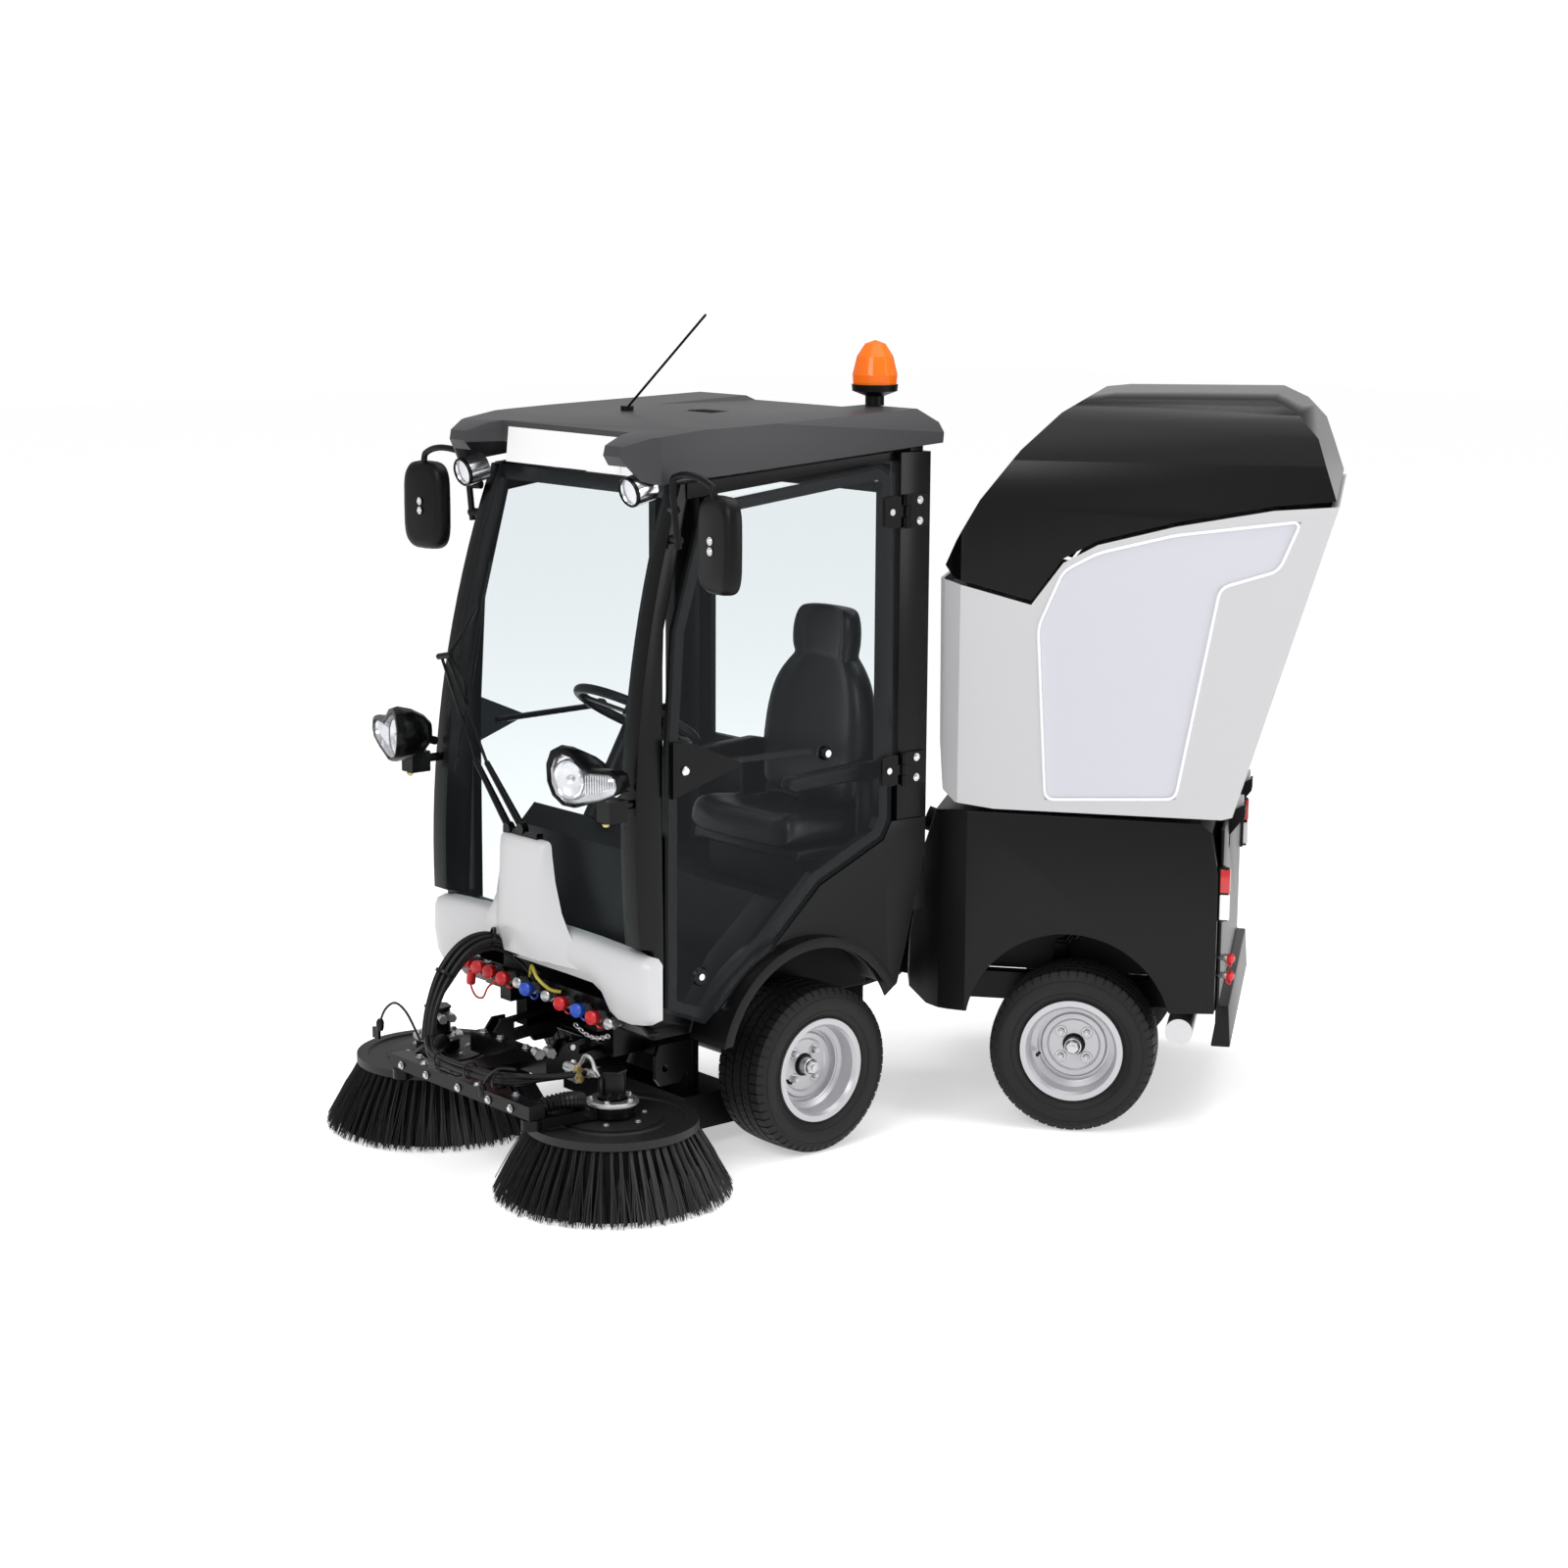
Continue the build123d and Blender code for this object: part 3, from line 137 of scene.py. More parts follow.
def pane_material(name, colour, painted_sheen_strength):
    """Flat glazing: lets light through, tints it and lays a faint even painted sheen over what is behind, a
    glow that stands in for light reflected off the glass.
    """
    m = bpy.data.materials.new(name)
    m.use_nodes = True
    tree = m.node_tree
    tree.nodes.clear()
    out = tree.nodes.new("ShaderNodeOutputMaterial")
    both = tree.nodes.new("ShaderNodeAddShader")
    through = tree.nodes.new("ShaderNodeBsdfTransparent")
    through.inputs["Color"].default_value = (*colour, 1)
    # The glass glows faintly: a painted sheen standing in for reflected light, not a lamp.
    sheen = tree.nodes.new("ShaderNodeEmission")
    sheen.inputs["Color"].default_value = (0.85, 0.93, 1, 1)
    sheen.inputs["Strength"].default_value = painted_sheen_strength
    tree.links.new(through.outputs[0], both.inputs[0])
    tree.links.new(sheen.outputs[0], both.inputs[1])
    tree.links.new(both.outputs[0], out.inputs["Surface"])
    return m


def clear_material(name, colour, alpha, rough=0.05, solid=False):
    """Clear lens: lets light through, under a mirror-like sheen or, if solid, a coloured body."""
    m = bpy.data.materials.new(name)
    m.use_nodes = True
    tree = m.node_tree
    tree.nodes.clear()
    out = tree.nodes.new("ShaderNodeOutputMaterial")
    mix = tree.nodes.new("ShaderNodeMixShader")
    through = tree.nodes.new("ShaderNodeBsdfTransparent")
    through.inputs["Color"].default_value = (*colour, 1)
    face = tree.nodes.new("ShaderNodeBsdfPrincipled" if solid else "ShaderNodeBsdfAnisotropic")
    face.inputs["Base Color" if solid else "Color"].default_value = (*colour, 1)
    face.inputs["Roughness"].default_value = rough
    mix.inputs[0].default_value = alpha
    tree.links.new(through.outputs[0], mix.inputs[1])
    tree.links.new(face.outputs[0], mix.inputs[2])
    tree.links.new(mix.outputs[0], out.inputs["Surface"])
    return m


# The last number is the strength of the glass's painted sheen glow.
SCREEN_GLASS = pane_material("cab_glass", (0.93, 0.955, 0.96), 0.004)
DOOR_GLASS = pane_material("door_glass", (0.94, 0.945, 0.95), 0.008)
LENS = clear_material("lamp_lens", (0.95, 0.96, 0.97), 0.18)
AMBER = clear_material("amber_lens", (1.0, 0.3, 0.02), 0.5, 0.1, solid=True)

SLOT_MATERIALS = {
    "black_frame": BLACK_PAINT, "black_plastic": BLACK_MOULD, "dark_grey": ROOF_GREY,
    "light_grey": LIGHT_GREY, "tyre_rubber": TYRE, "rim_paint": RIM, "cab_glass": SCREEN_GLASS,
    "seat_vinyl": VINYL, "lamp": REFLECTOR, "red_lamp": RED_LENS, "amber_dome": AMBER,
    "bristle": BRISTLE, "bare_steel": STEEL, "rod_chrome": CHROME, "engine_iron": IRON,
}
slots = {p["node"]: p["material_slot"] for p in frame["record"]["subparts"]}
NODE_MATERIALS = {
    "hopper_body": HOPPER_GREY, "hopper_lid": LID_BLACK, "rear_body": BODY_BLACK, "front_fenders": BODY_BLACK,
    "door_glass_left": DOOR_GLASS, "door_glass_right": DOOR_GLASS, "rear_plate": BODY_BLACK,
    "brush_disc_left": DISC, "brush_disc_right": DISC,
}
for name, node in frame["nodes"].items():
    node.data.materials.clear()
    node.data.materials.append(NODE_MATERIALS.get(name, SLOT_MATERIALS[slots[name]]))


# The four sides of a block whose corners run through z first, then y, then x
BLOCK_SIDES = ((0, 4, 5, 1), (2, 3, 7, 6), (0, 2, 6, 4), (1, 5, 7, 3))


class Shape:
    """Builds a mesh from blocks, rings, tubes and turned profiles, in local millimetres."""

    def __init__(self):
        self.points, self.faces, self.kinds = [], [], []

    def add(self, points, faces, kind=0):
        n = len(self.points)
        self.points += [tuple(p) for p in points]
        self.faces += [tuple(i + n for i in f) for f in faces]
        self.kinds += [kind] * len(faces)
        return self

    def box(self, x0, x1, y0, y1, z0, z1, kind=0, turn=None, about=(0, 0, 0)):
        points = [Vector((x, y, z)) for x in (x0, x1) for y in (y0, y1) for z in (z0, z1)]
        if turn is not None:
            centre = Vector(about)
            points = [turn @ (p - centre) + centre for p in points]
        return self.add(points, [(0, 1, 3, 2), (4, 6, 7, 5), *BLOCK_SIDES], kind)

    def rings(self, rings, kind=0, caps=True):
        """Skin through closed rings of equal length."""
        n = len(rings[0])
        points = [p for ring in rings for p in ring]
        faces = []
        for k in range(len(rings) - 1):
            for i in range(n):
                j = (i + 1) % n
                faces.append((k * n + i, k * n + j, (k + 1) * n + j, (k + 1) * n + i))
        if caps:
            faces.append(tuple(range(n - 1, -1, -1)))
            faces.append(tuple((len(rings) - 1) * n + i for i in range(n)))
        return self.add(points, faces, kind)

    def tube(self, path, radius, sides=10, kind=0, smooth=0, ribs=False):
        """Round tube along a path; ribs makes it corrugated."""
        path = [Vector(p) for p in path]
        if smooth:
            path = curve_through(path, smooth)
        out = []
        up = None
        for i, p in enumerate(path):
            ahead = (path[min(i + 1, len(path) - 1)] - path[max(i - 1, 0)]).normalized()
            if up is None:
                up = Vector((0, 0, 1)) if abs(ahead.z) < 0.9 else Vector((1, 0, 0))
            side = ahead.cross(up).normalized()
            up = side.cross(ahead).normalized()
            r = radius[i] if isinstance(radius, (list, tuple)) else radius
            if ribs:
                r *= 1 + 0.12 * math.cos(i * math.pi)
            out.append([p + side * (r * math.cos(a)) + up * (r * math.sin(a))
                        for a in (2 * math.pi * k / sides for k in range(sides))])
        return self.rings(out, kind=kind)

    def turned(self, profile, origin, axis, sides=32, kind=0):
        """Profile of (radius, distance along axis) turned about an axis."""
        axis = Vector(axis).normalized()
        side = axis.orthogonal().normalized()
        other = axis.cross(side)
        out = []
        for r, d in profile:
            centre = Vector(origin) + axis * d
            out.append([centre + side * (r * math.cos(a)) + other * (r * math.sin(a))
                        for a in (2 * math.pi * k / sides for k in range(sides))])
        return self.rings(out, kind=kind, caps=False)

    def bolt(self, at, axis, r=8, h=6, kind=0, washer=True):
        """Hexagonal head, on a round washer."""
        at, axis = Vector(at), Vector(axis).normalized()
        if washer:
            self.turned([(0.01, 0), (r * 1.35, 0), (r * 1.35, 1.6), (0.01, 1.6)], at, axis, 18, kind)
        self.turned([(r, 0), (r, h - 1), (r * 0.86, h), (0.01, h)], at, axis, 6, kind)
        return self


def curve_through(points, steps):
    """Points of a smooth line through the given ones."""
    out = []
    n = len(points)
    for i in range(n - 1):
        p0, p1, p2, p3 = points[max(i - 1, 0)], points[i], points[i + 1], points[min(i + 2, n - 1)]
        for s in range(steps):
            t = s / steps
            out.append(0.5 * ((2 * p1) + (p2 - p0) * t + (2 * p0 - 5 * p1 + 4 * p2 - p3) * t * t
                              + (3 * p1 - p0 - 3 * p2 + p3) * t * t * t))
    out.append(points[-1])
    return out


def new_object(name, mesh):
    obj = bpy.data.objects.new(name, mesh)
    bpy.context.scene.collection.objects.link(obj)
    bpy.ops.object.select_all(action="DESELECT")
    obj.select_set(True)
    bpy.context.view_layer.objects.active = obj
    return obj


def finish_edges(obj, width, segments, angle, smooth):
    """Round the edges sharper than the angle, if there is a width, and shade the rest smoothly."""
    if width:
        edge = obj.modifiers.new("edge", "BEVEL")
        edge.width, edge.segments, edge.limit_method = width / 1000, segments, "ANGLE"
        edge.angle_limit = math.radians(angle)
        bpy.ops.object.modifier_apply(modifier="edge")
    bpy.ops.object.shade_smooth_by_angle(angle=math.radians(smooth))


def piece(shape, name, body, place, *materials, smooth=40, replaces=(), slot=None, bevel=0):
    mesh = bpy.data.meshes.new(name)
    mesh.from_pydata([place(p) for p in shape.points], [], shape.faces)
    for m in materials:
        mesh.materials.append(m)
    mesh.polygons.foreach_set("material_index", shape.kinds)
    mesh.update()
    obj = new_object(name, mesh)
    bpy.ops.object.mode_set(mode="EDIT")
    bpy.ops.mesh.select_all(action="SELECT")
    bpy.ops.mesh.normals_make_consistent(inside=False)
    bpy.ops.object.mode_set(mode="OBJECT")
    finish_edges(obj, bevel, 2, 35, smooth)
    if body:
        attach(obj, body)
    if replaces:
        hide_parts(*replaces)
    return obj


def soften(node, body, width=0, angle=24):
    """The same piece shaded smoothly, with its sharp edges rounded if a width is given."""
    source = frame["nodes"][node]
    mesh = source.data.copy()
    mesh.transform(source.matrix_world)
    soft = bmesh.new()
    soft.from_mesh(mesh)
    bmesh.ops.remove_doubles(soft, verts=soft.verts, dist=0.00002)
    bmesh.ops.dissolve_limit(soft, angle_limit=math.radians(0.6), verts=soft.verts, edges=soft.edges)
    soft.to_mesh(mesh)
    soft.free()
    obj = new_object(node + "_skin", mesh)
    finish_edges(obj, width, 3, angle, 38)
    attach(obj, body)
    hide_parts(node)


soften("hopper_lid", "lid")
soften("roof", "front_section", 10, 14)
soften("rear_body", "rear_section", 8, 20)
soften("front_fenders", "front_section", 5)
soften("cab_frame", "front_section", 4)
soften("cab_floor", "front_section", 5)
soften("dashboard", "front_section", 8, 20)
soften("rear_plate", "rear_section", 5)
soften("seat_base", "front_section", 6)
soften("armrests", "front_section", 8)


# Tyres with ribs, sipes and shoulder blocks; wheel nuts and hub caps
TYRE_R = 234.0
GROOVE = 7
WHEEL_X = 421
NUT_CIRCLE = 51


def wheel_detail(hand, body, tyre_node, place):
    """Tread and hub of one wheel, drawn about the ground point in the middle of its tyre, x outwards."""
    def at(p):
        return place((hand * (WHEEL_X + p[0]), p[1], p[2]))

    low = TYRE_R - GROOVE
    half = [(70, 124), (77, 128), (77, 146), (84, 158), (94, 172), (97, 189), (95.5, 203), (90, 214),
            (88, 215), (87, 219), (84, 221), (79, low), (60, low), (30, low), (0, low)]
    profile = half + [(-x, r) for x, r in reversed(half[:-1])]
    tyre = Shape()
    sides = 96
    tyre.rings([[(x, r * math.cos(a), TYRE_R + r * math.sin(a)) for x, r in profile]
                for a in (2 * math.pi * k / sides for k in range(sides + 1))], caps=False)

    def crown(x):
        return TYRE_R - 0.4 - 3.6 * (abs(x) / 80) ** 2.4

    for x0, x1, count, gap, lean in ((-80, -52, 54, 5.0, 0.0), (-46, -20, 66, 2.2, 6.0),
                                     (-13, 13, 60, 1.4, -5.0), (20, 46, 66, 2.2, 6.0),
                                     (52, 80, 54, 5.0, 0.0)):
        for k in range(count):
            step = 2 * math.pi / count
            a0 = k * step + gap / 2 / TYRE_R
            a1 = (k + 1) * step - gap / 2 / TYRE_R
            points = []
            for r_drop in (0, 1):
                for x, a_shift in ((x0, -lean), (x1, lean)):
                    for a in (a0, a1):
                        r = crown(x) if not r_drop else low - 1
                        b = a + a_shift / TYRE_R
                        points.append((x, r * math.cos(b), TYRE_R + r * math.sin(b)))
            tyre.add(points, [(0, 1, 3, 2), *BLOCK_SIDES])
    for side in (-1, 1):
        for k in range(54):
            a = 2 * math.pi * (k + 0.5) / 54
            points = []
            for x, r in ((79, TYRE_R - 5), (86.5, 220), (91, 211)):
                for b in (a - 0.044, a + 0.044):
                    points.append((side * (x + 1.5), r * math.cos(b), TYRE_R + r * math.sin(b)))
            tyre.add(points, [(0, 1, 3, 2), (2, 3, 5, 4)])
        for r, x in ((152, 81.5), (168, 92.3), (204, 96.2)):
            tyre.turned([(r - 1.5, x - 1), (r - 0.5, x + 0.6), (r + 0.5, x + 0.6), (r + 1.5, x - 1)],
                        (0, 0, TYRE_R), (side, 0, 0), 72)
    piece(tyre, tyre_node + "_tread", body, at, TYRE, smooth=30, replaces=(tyre_node,), slot="tyre_rubber")

    hub = Shape()
    nave = 9
    for k in range(4):
        a = math.radians(45 + 90 * k)
        p = (nave, NUT_CIRCLE * math.cos(a), TYRE_R + NUT_CIRCLE * math.sin(a))
        hub.turned([(0.01, 14), (5, 14), (6.5, 12), (7, 9)], p, (1, 0, 0), 12)
        hub.turned([(10.5, 0), (11.5, 1), (10.5, 10), (9, 12), (0.01, 12)], p, (1, 0, 0), 6)
        hub.turned([(0.01, 2.0), (15, 2.0), (17, 0)], p, (1, 0, 0), 20)
    hub.turned([(31.5, -6), (31.5, 2), (29, 5), (22, 5)], (nave, 0, TYRE_R), (1, 0, 0), 36, kind=1)
    hub.turned([(21, 0), (21, 38), (17, 42), (0.01, 43)], (nave, 0, TYRE_R), (1, 0, 0), 6)
    hub.turned([(24, 0), (24, 30), (21, 31)], (nave, 0, TYRE_R), (1, 0, 0), 28)
    hub.turned([(9, 42), (9, 47), (0.01, 48)], (nave, 0, TYRE_R), (1, 0, 0), 20)
    hub.tube([(48, -92, TYRE_R - 20), (60, -98, TYRE_R - 22), (70, -96, TYRE_R - 22)], 4.5, 8, kind=1)
    piece(hub, tyre_node.replace("tyre", "hub"), body, at, STEEL, BLACK_PAINT, smooth=35, slot="bare_steel")


for hand, word in HANDS:
    wheel_detail(hand, f"wheel_front_{word}", f"tyre_front_{word}", front)
    wheel_detail(hand, f"wheel_rear_{word}", f"tyre_rear_{word}", rear)


# Brushes: tufts of bristles fanning out of the disc, hub ring and motor details
BRUSH_X = 408
BRUSH_Y = -642
DISC_UNDER = 184
OUTER_RING = 215
REACH_MOST = 316
for hand, word in HANDS:
    cx = BRUSH_X * hand
    strands = Shape()
    for ring_r, tip_r, tufts, each, spread in ((OUTER_RING, 309, 58, 17, 0.052), (190, 285, 50, 12, 0.06),
                                               (165, 255, 42, 10, 0.07)):
        for t in range(tufts):
            a0 = 2 * math.pi * (t + random.uniform(-0.12, 0.12)) / tufts
            for _ in range(each):
                a = a0 + random.uniform(-0.022, 0.022)
                b = a0 + random.gauss(0, spread * 0.5)
                r_top = ring_r + random.uniform(-6, 6)
                r_tip = min(tip_r + random.gauss(0, 6), REACH_MOST)
                z_tip = 3 + abs(random.gauss(0, 4))
                if ring_r == OUTER_RING:
                    z_tip = 3 + abs(random.gauss(0, 9))
                w = random.uniform(1.1, 1.7)
                line = []
                for s in (0, 0.5, 1):
                    bow = 5 if s == 0.5 else 0
                    r = r_top + (r_tip - r_top) * s + bow
                    turn = a + (b - a) * s
                    line.append(Vector((cx + r * math.cos(turn), BRUSH_Y + r * math.sin(turn),
                                        DISC_UNDER + (z_tip - DISC_UNDER) * s)))
                strands.tube(line, [w, w, w * 0.8], 3)
    strands.turned([(150, DISC_UNDER), (212, DISC_UNDER), (278, 8), (205, 8)], (cx, BRUSH_Y, 0), (0, 0, 1),
                   48, kind=1)
    piece(strands, f"bristle_strands_{word}", f"brush_{word}", front, BRISTLE, DEEP_BLACK, smooth=60,
          replaces=(f"bristles_{word}",), slot="bristle")

    cover = Shape()
    for k in range(6):
        a = math.radians(60 * k + 12)
        cover.bolt((cx + 88 * math.cos(a), BRUSH_Y + 88 * math.sin(a), 208), (0, 0, 1), 7, 6)
    cover.turned([(0.01, 205), (132, 205), (132, 208.5), (126, 209.5), (0.01, 209.5)], (cx, BRUSH_Y, 0),
                 (0, 0, 1), 64, kind=1)
    piece(cover, f"disc_centre_{word}", f"brush_{word}", front, STEEL, DISC, smooth=30)

    motor = Shape()
    motor.turned([(40, 243), (66, 243), (70, 247), (70, 253), (64, 257), (40, 257)], (cx, BRUSH_Y, 0),
                 (0, 0, 1), 48)
    for k in range(5):
        a = math.radians(72 * k + 20)
        motor.bolt((cx + 55 * math.cos(a), BRUSH_Y + 55 * math.sin(a), 257), (0, 0, 1), 7, 7)
    motor.turned([(34.6, 258), (36, 262), (36, 318), (34.6, 330)], (cx, BRUSH_Y, 0), (0, 0, 1), 40, kind=1)
    motor.turned([(36, 328), (39, 330), (39, 336), (0.01, 336)], (cx, BRUSH_Y, 0), (0, 0, 1), 6, kind=1)
    for dy in (-16, 14):
        motor.tube([(cx - hand * 30, BRUSH_Y + dy, 314), (cx - hand * 60, BRUSH_Y + dy - 10, 314)], 10, 12)
        motor.tube([(cx - hand * 60, BRUSH_Y + dy - 10, 314), (cx - hand * 78, BRUSH_Y + dy - 16, 314)],
                   13, 6)
    piece(motor, f"motor_fittings_{word}", f"brush_swing_{word}", front, STEEL, BLACK_PAINT, smooth=30)

# Hoses, clips, bolts and fittings on the head beam
head = Shape()
for k, (dx, dz) in enumerate(((0, 0), (12, 8), (-4, 18), (18, 22))):
    head.tube([(-118 + dx, -868, 330 + dz), (-60 + dx, -893, 306 + dz), (60, -896 - dx * 0.4, 300 + dz),
               (200, -890, 304 + dz), (290, -868, 312 + dz), (322, -800 + dx, 318 + dz * 0.3),
               (336, -720 + dx, 316 + dz * 0.2), (342, -664 + dx, 316)], 7.5 if k < 3 else 5, 10, smooth=6)
for x in (-20, 120, 250):
    head.turned([(20, -3), (23, -3), (23, 3), (20, 3)], (x, -892, 312), (1, 0.02, 0), 20)
for x in (-180, -60, 90, 230, 330):
    head.bolt((x, -912, 262), (0, -1, 0), 8, 7, kind=1)
for x, y in ((-150, -872), (-90, -898), (10, -874), (160, -898), (300, -874)):
    head.bolt((x, y, 283), (0, 0, 1), 8, 8, kind=1)
for x in (-140, -60, 60, 150):
    head.bolt((x, -670, 320), (0, 0, 1), 9, 9, kind=1)
for x in (-171, 171):
    head.bolt((x, -600, 290), (x, 0, 0), 13, 9, kind=1)
    head.bolt((x, -600, 335), (x, 0, 0), 10, 8, kind=1)
for x0, y0, x1, y1 in ((-195, -840, -300, -700), (362, -840, 385, -730)):
    steps = 22
    sleeve = []
    for s in range(steps + 1):
        swell = math.sin(math.pi * s / steps)
        sleeve.append((x0 + (x1 - x0) * s / steps + 14 * swell, y0 + (y1 - y0) * s / steps, 262 + 10 * swell))
    head.tube(sleeve, 21, 16, ribs=True)
for x, y, z in ((140, -660, 330), (128, -690, 330)):
    head.tube([(x, y, z), (x + 26, y - 8, z)], 12, 12, kind=1)
    head.tube([(x + 26, y - 8, z), (x + 40, y - 12, z)], 15, 6, kind=1)
head.tube([(330, -700, 332), (352, -700, 352), (366, -698, 372), (388, -694, 366), (398, -690, 340),
           (400, -680, 322)], 5.5, 10, kind=1, smooth=5)
for x, z in ((330, 330), (336, 308)):
    head.tube([(x - 36, -706, z), (x - 6, -706, z)], 13, 12, kind=1)
    head.tube([(x - 6, -706, z), (x + 12, -706, z)], 15, 6, kind=1)
    head.tube([(x + 12, -706, z), (x + 22, -706, z)], 11, 10, kind=2)
piece(head, "head_hoses_and_bolts", "head", front, HOSE, STEEL, BRASS, smooth=35)

# Supply hoses from the couplings over to the brush beam, in two runs
arcs = [(-40, -562, 500), (-80, -600, 552), (-112, -655, 592), (-136, -725, 574), (-146, -790, 505),
        (-138, -840, 415), (-118, -868, 332)]
APEX = 3
HOSE_STEPS = 8
offsets = ((0, 0, 0), (16, 4, -8), (-14, -6, 6), (8, 10, -20), (-4, 12, -34))
upper, lower = Shape(), Shape()
for k, (dx, dy, dz) in enumerate(offsets):
    line = curve_through([Vector((x + dx, y + dy * (1 if -840 < y < -580 else 0.3),
                                  z + dz * (1 if z > 420 else 0.3))) for x, y, z in arcs], HOSE_STEPS)
    r = 8.5 if k < 3 else 6.5
    upper.tube(line[:APEX * HOSE_STEPS + 1], r, 12)
    lower.tube(line[APEX * HOSE_STEPS:], r, 12)
for target, k in ((upper, 2), (lower, 4)):
    x, y, z = arcs[k]
    ahead = Vector(arcs[k + 1]) - Vector(arcs[k - 1])
    target.turned([(24, -4), (28, -4), (28, 4), (24, 4)], (x, y, z), ahead, 20)
apex = front(arcs[APEX])
for name, shape, a, b, start, end in (
        ("supply_hoses_upper", upper, "front_section", "lift", front((-60, -580, 525)), apex),
        ("supply_hoses_lower", lower, "lift", "head", apex, front((-120, -860, 350)))):
    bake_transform(piece(shape, name, None, front, HOSE, smooth=60))
link_hose = Shape()
link_hose.tube([(-64, -566, 478), (-20, -590, 520), (30, -610, 500), (60, -590, 470), (78, -566, 462)],
               5, 8, smooth=6)
piece(link_hose, "link_hose", "front_section", front, YELLOW, smooth=60)

# Hydraulic couplings in a row on the coupling bar: the cap's number is its material's place in the piece
RED_CAP, BLUE_CAP = 1, 2
plugs = Shape()
row = [(-330, 484, RED_CAP), (-268, 478, RED_CAP), (-214, 476, RED_CAP), (-150, 470, RED_CAP),
       (-92, 468, None), (-38, 463, BLUE_CAP), (40, 458, None), (120, 455, RED_CAP), (196, 452, BLUE_CAP),
       (262, 446, RED_CAP), (322, 440, None)]
out = Vector((0.25, -0.9, 0.1)).normalized()
for x, z, cap in row:
    base = Vector((x, -558, z - 12))
    plugs.turned([(13, -2), (13, 12), (11, 14), (11, 30), (15, 32), (15, 44), (12, 46), (0.01, 46)],
                 base, out, 14)
    plugs.turned([(16, 14), (17, 16), (17, 22), (16, 24)], base, out, 6)
    if cap:
        tip = base + out * 44
        plugs.turned([(0.01, -6), (17, -6), (19, 0), (19, 16), (12, 21), (0.01, 22)], tip, out, 18, kind=cap)
        strap = [base + out * 8, base + out * 16 + Vector((20, -4, -20)),
                 base + out * 34 + Vector((22, -6, -24)), tip + Vector((6, 0, -16))]
        plugs.tube(strap, 2.6, 6, kind=cap, smooth=6)
plugs.tube([(-298, -600, 470), (-288, -612, 425), (-258, -616, 392), (-218, -618, 394), (-192, -616, 430),
            (-150, -606, 460)], 3, 6, kind=RED_CAP, smooth=6)
plugs.turned([(0.01, 0), (11, 0), (13, 6), (13, 34), (9, 38), (0.01, 38)], (-296, -604, 415), (0.1, 0, 1), 14,
             kind=RED_CAP)
for x in (-400, -300, 350, 400):
    plugs.bolt((x, -560, 458), (0, -1, 0), 8, 6)
piece(plugs, "hydraulic_couplings", "front_section", front, STEEL, RED, BLUE, smooth=35)

# Chain hanging in a shallow bow under the coupling bar
chain = Shape()
LINKS, CHAIN_SPAN, CHAIN_SAG = 13, 153, 20
for k in range(LINKS):
    s = (k + 0.5) / LINKS
    at = Vector((192 + CHAIN_SPAN * s, -604, 404 - CHAIN_SAG * math.sin(math.pi * s)))
    turn = 0 if k % 2 else math.pi / 2
    loop = []
    for i in range(13):
        a = 2 * math.pi * i / 12
        u, v = 9 * math.cos(a), 5 * math.sin(a)
        loop.append(at + Vector((u, v * math.cos(turn), v * math.sin(turn))))
    chain.tube(loop, 2.1, 6)
piece(chain, "safety_chain", "front_section", front, STEEL, smooth=60)

# Spray nozzles on thin hoses
spray = Shape()
nozzle = [(0.01, 0), (9, 0), (11, 8), (11, 24), (7, 32), (0.01, 32)]
spray.tube([(-150, -870, 330), (-190, -885, 400), (-240, -890, 420), (-290, -890, 392), (-318, -890, 350)],
           3.4, 8, smooth=6)
spray.turned(nozzle, (-320, -890, 326), (0.1, 0, 1), 12)
spray.box(-352, -322, -894, -886, 300, 330, kind=1)
spray.tube([(300, -872, 352), (260, -896, 350), (215, -902, 318), (196, -902, 290)], 3.4, 8, smooth=6)
spray.turned(nozzle, (196, -906, 262), (0, 0, 1), 12)
piece(spray, "spray_nozzles", "head", front, HOSE, BLACK_PAINT, smooth=40)

# Bumper with lobes at its ends, and the tower in its middle. A station gives its distance out, the face's
# y and the heights of the upper and lower edges. The last one reaches the back, which closes the end.
panel = Shape()
stations = [(0, -618, 650, 535), (150, -618, 650, 535), (270, -618, 648, 533), (312, -618, 646, 515),
            (345, -618, 645, 472), (380, -617, 643, 456), (430, -612, 640, 452), (468, -600, 633, 455),
            (491, -590, 628, 459), (503, -578, 619, 470)]
bumper_rings = []
for x, y, top, low in [(-a, *rest) for a, *rest in reversed(stations[1:])] + stations:
    mid = (top + low) / 2
    back = -566 if abs(x) < 480 else -552
    outer = [(back, top + 5), (min(y + 30, back - 1), top + 3), (y + 9, top - 3), (y, top - 22), (y - 3, mid),
             (y + 8, low + 18), (y + 17, low)]
    inner = [(y + 22, low + 1), (y + 14, low + 19), (y + 4, mid), (y + 7, top - 22), (y + 15, top - 9),
             (min(y + 33, back + 2), top - 3), (back + 4, top - 1)]
    if abs(x) > 500:
        inner = [(back + 4, pz) for py, pz in inner]
    bumper_rings.append([(x, py, pz) for py, pz in outer + inner])
panel.rings(bumper_rings)
tower_rings = []
CORNER = 9
for z, back_x, front_x, front_y in (
        (560, 262, 92, -638), (600, 232, 84, -652), (635, 200, 79, -664), (655, 182, 78, -667),
        (700, 152, 80, -662), (780, 124, 88, -653), (850, 111, 94, -646), (876, 108, 95, -642),
        (884, 102, 89, -638), (887, 92, 80, -632)):
    back_y = -606 if z < 620 else -614
    side_x, side_y = (back_x + 2 * front_x) / 3, (back_y + 2 * front_y) / 3 + 2
    tower_rings.append([(-back_x, back_y, z), (-side_x, side_y, z), (-front_x - 2, front_y + CORNER, z),
                        (-front_x + CORNER, front_y, z), (front_x - CORNER, front_y, z),
                        (front_x + 2, front_y + CORNER, z), (side_x, side_y, z), (back_x, back_y, z)])
